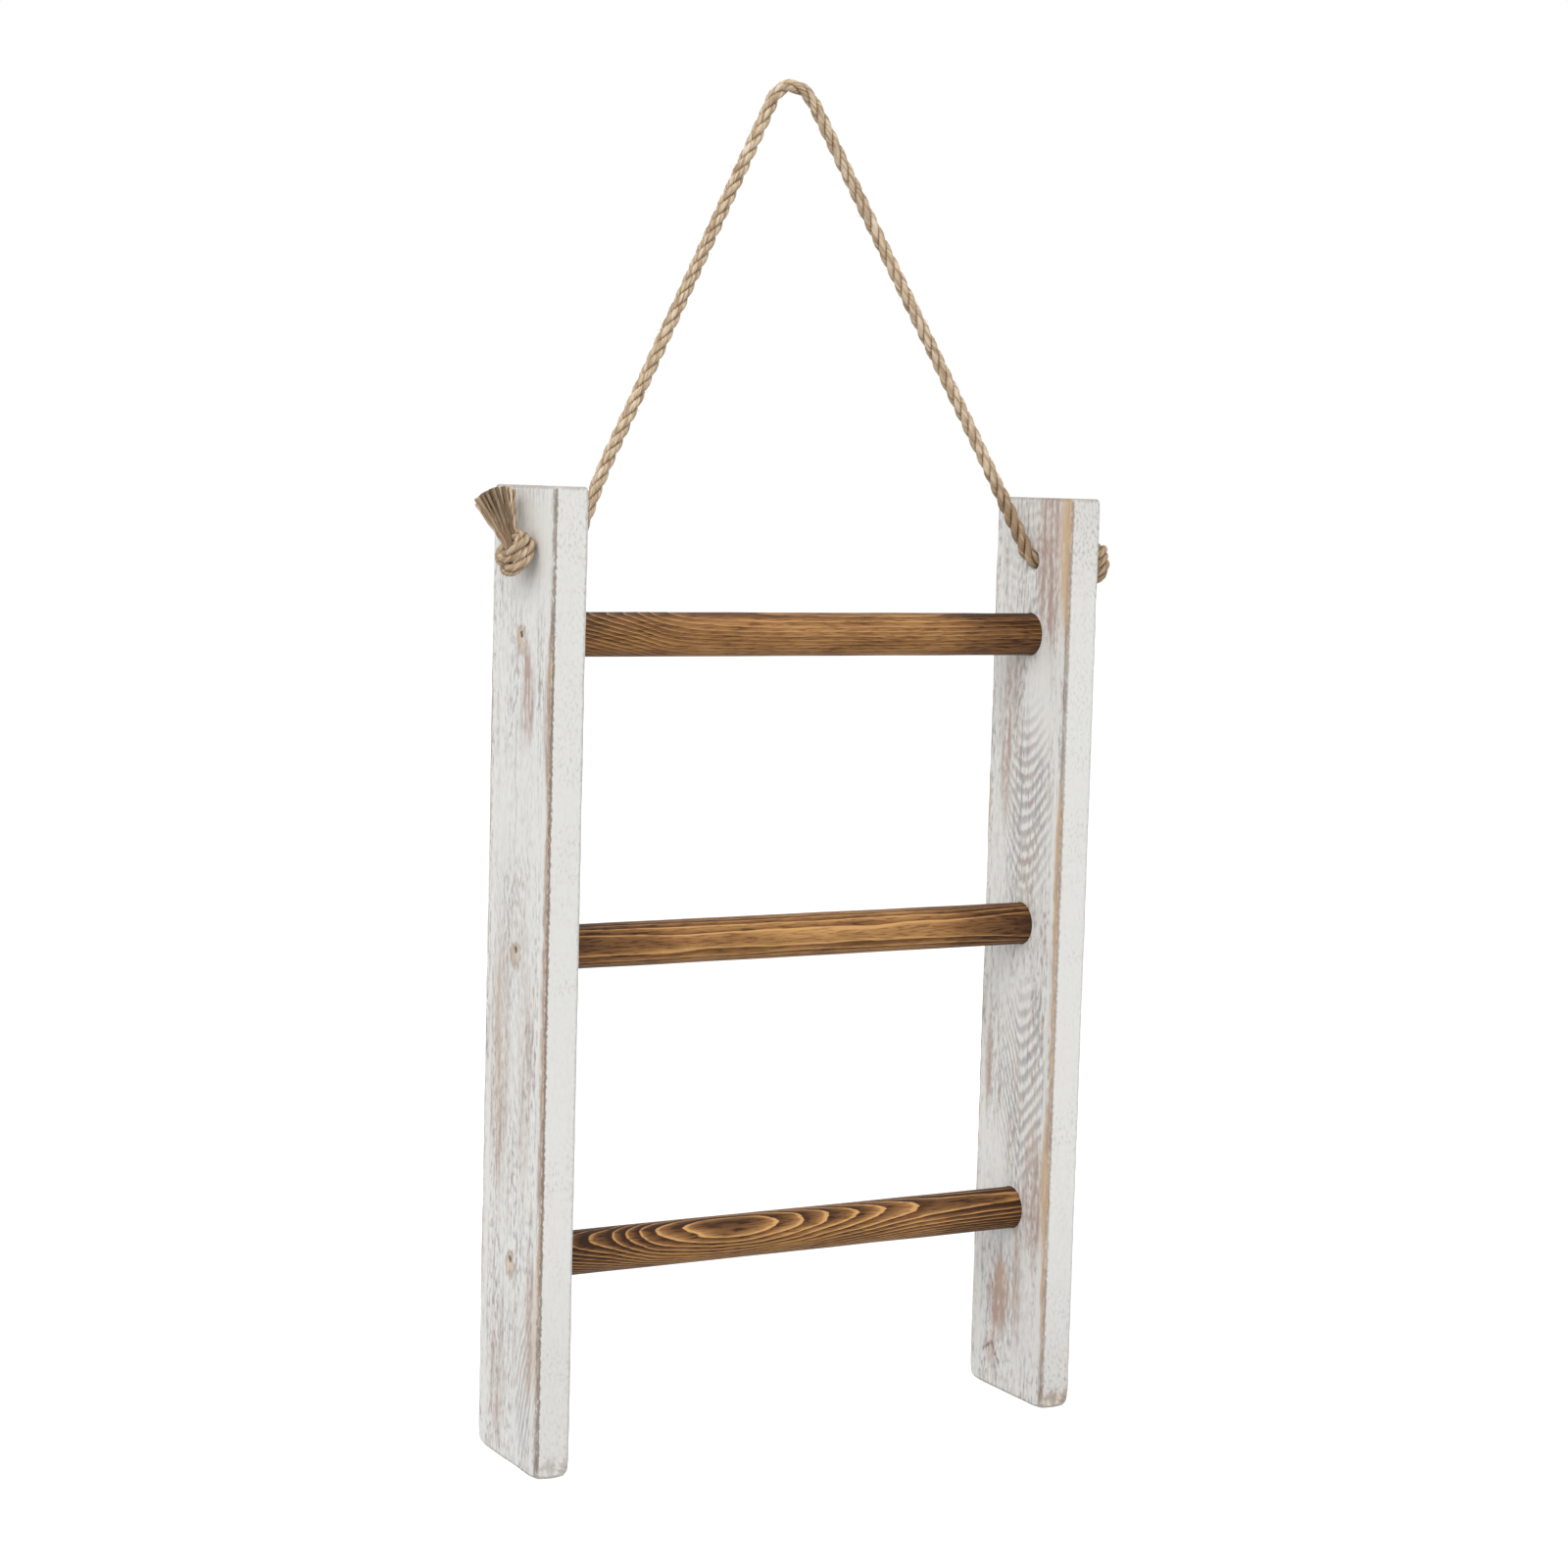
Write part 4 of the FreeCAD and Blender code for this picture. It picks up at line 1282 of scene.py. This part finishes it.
def floor_material(stage):
    """A pale floor that looks white where no shadow lies."""
    material, start, shader = new_material("pale_floor")
    feed(shader, Base_Color=opaque(stage.floor), Roughness=1.0, Specular_IOR_Level=0.0)
    glow = start.node("ShaderNodeEmission", None, {"Color": (1.0, 1.0, 1.0, 1.0), "Strength": FLOOR_GLOW})
    both = start.node("ShaderNodeAddShader", None, {1: glow})
    material.node_tree.links.new(shader.outputs[0], both.socket.node.inputs[0])
    shown = start.node("ShaderNodeMixShader", None, {0: seen_directly(start), 2: both})
    material.node_tree.links.new(shader.outputs[0], shown.socket.node.inputs[1])
    out = material.node_tree.nodes["Material Output"]
    material.node_tree.links.new(shown.socket, out.inputs["Surface"])
    return material


class LADDER_OT_stage(Operator):
    """Sets the floor, the lights, the white background and the camera"""
    bl_idname = "towel_ladder.set_stage"
    bl_label = "Set stage"

    def execute(self, context):
        stage = context.scene.towel_ladder.stage
        context.scene.view_settings.view_transform = "Standard"
        foot = RAIL_BOX["left"][0].z
        build = bmesh.new()
        bmesh.ops.create_grid(build, size=stage.floor_size / 2,
                              matrix=Matrix.Translation((0.0, 0.0, foot - stage.floor_drop)))
        floor = add_object("floor", finish_mesh(build, "floor"))
        floor.data.materials.append(floor_material(stage))
        add_sun("key_light", stage.key, **KEY_LIGHT)
        add_sun("fill_light", stage.fill, **FILL_LIGHT)
        light_world(stage)
        add_camera()
        return {"FINISHED"}


class LADDER_PT_build(Panel):
    """Lists the ladder's settings and the steps that build it"""
    bl_idname = "LADDER_PT_build"
    bl_label = "Towel ladder"
    bl_space_type = "VIEW_3D"
    bl_region_type = "UI"
    bl_category = "Towel ladder"

    def draw(self, context):
        settings = context.scene.towel_ladder
        for group in ("rails", "rungs", "nails", "rope", "stage"):
            box = self.layout.box()
            box.label(text=group.capitalize())
            values = getattr(settings, group)
            for name in values.__annotations__:
                box.prop(values, name)
        for step in STEPS:
            self.layout.operator(step.bl_idname)


STEPS = (LADDER_OT_knots, LADDER_OT_rope, LADDER_OT_rails, LADDER_OT_rungs, LADDER_OT_nails,
         LADDER_OT_stage)
GROUPS = (RailSettings, RungSettings, NailSettings, RopeSettings, StageSettings, LadderSettings)


def register():
    for part in (*GROUPS, *STEPS, LADDER_PT_build):
        bpy.utils.register_class(part)
    bpy.types.Scene.towel_ladder = PointerProperty(type=LadderSettings)


def unregister():
    del bpy.types.Scene.towel_ladder
    for part in reversed((*GROUPS, *STEPS, LADDER_PT_build)):
        bpy.utils.unregister_class(part)


def main():
    register()
    bpy.ops.towel_ladder.tie_knots()
    bpy.ops.towel_ladder.lay_rope()
    bpy.ops.towel_ladder.make_rails()
    bpy.ops.towel_ladder.make_rungs()
    bpy.ops.towel_ladder.finish_nails()
    bpy.ops.towel_ladder.set_stage()


if __name__ == "__main__":
    main()
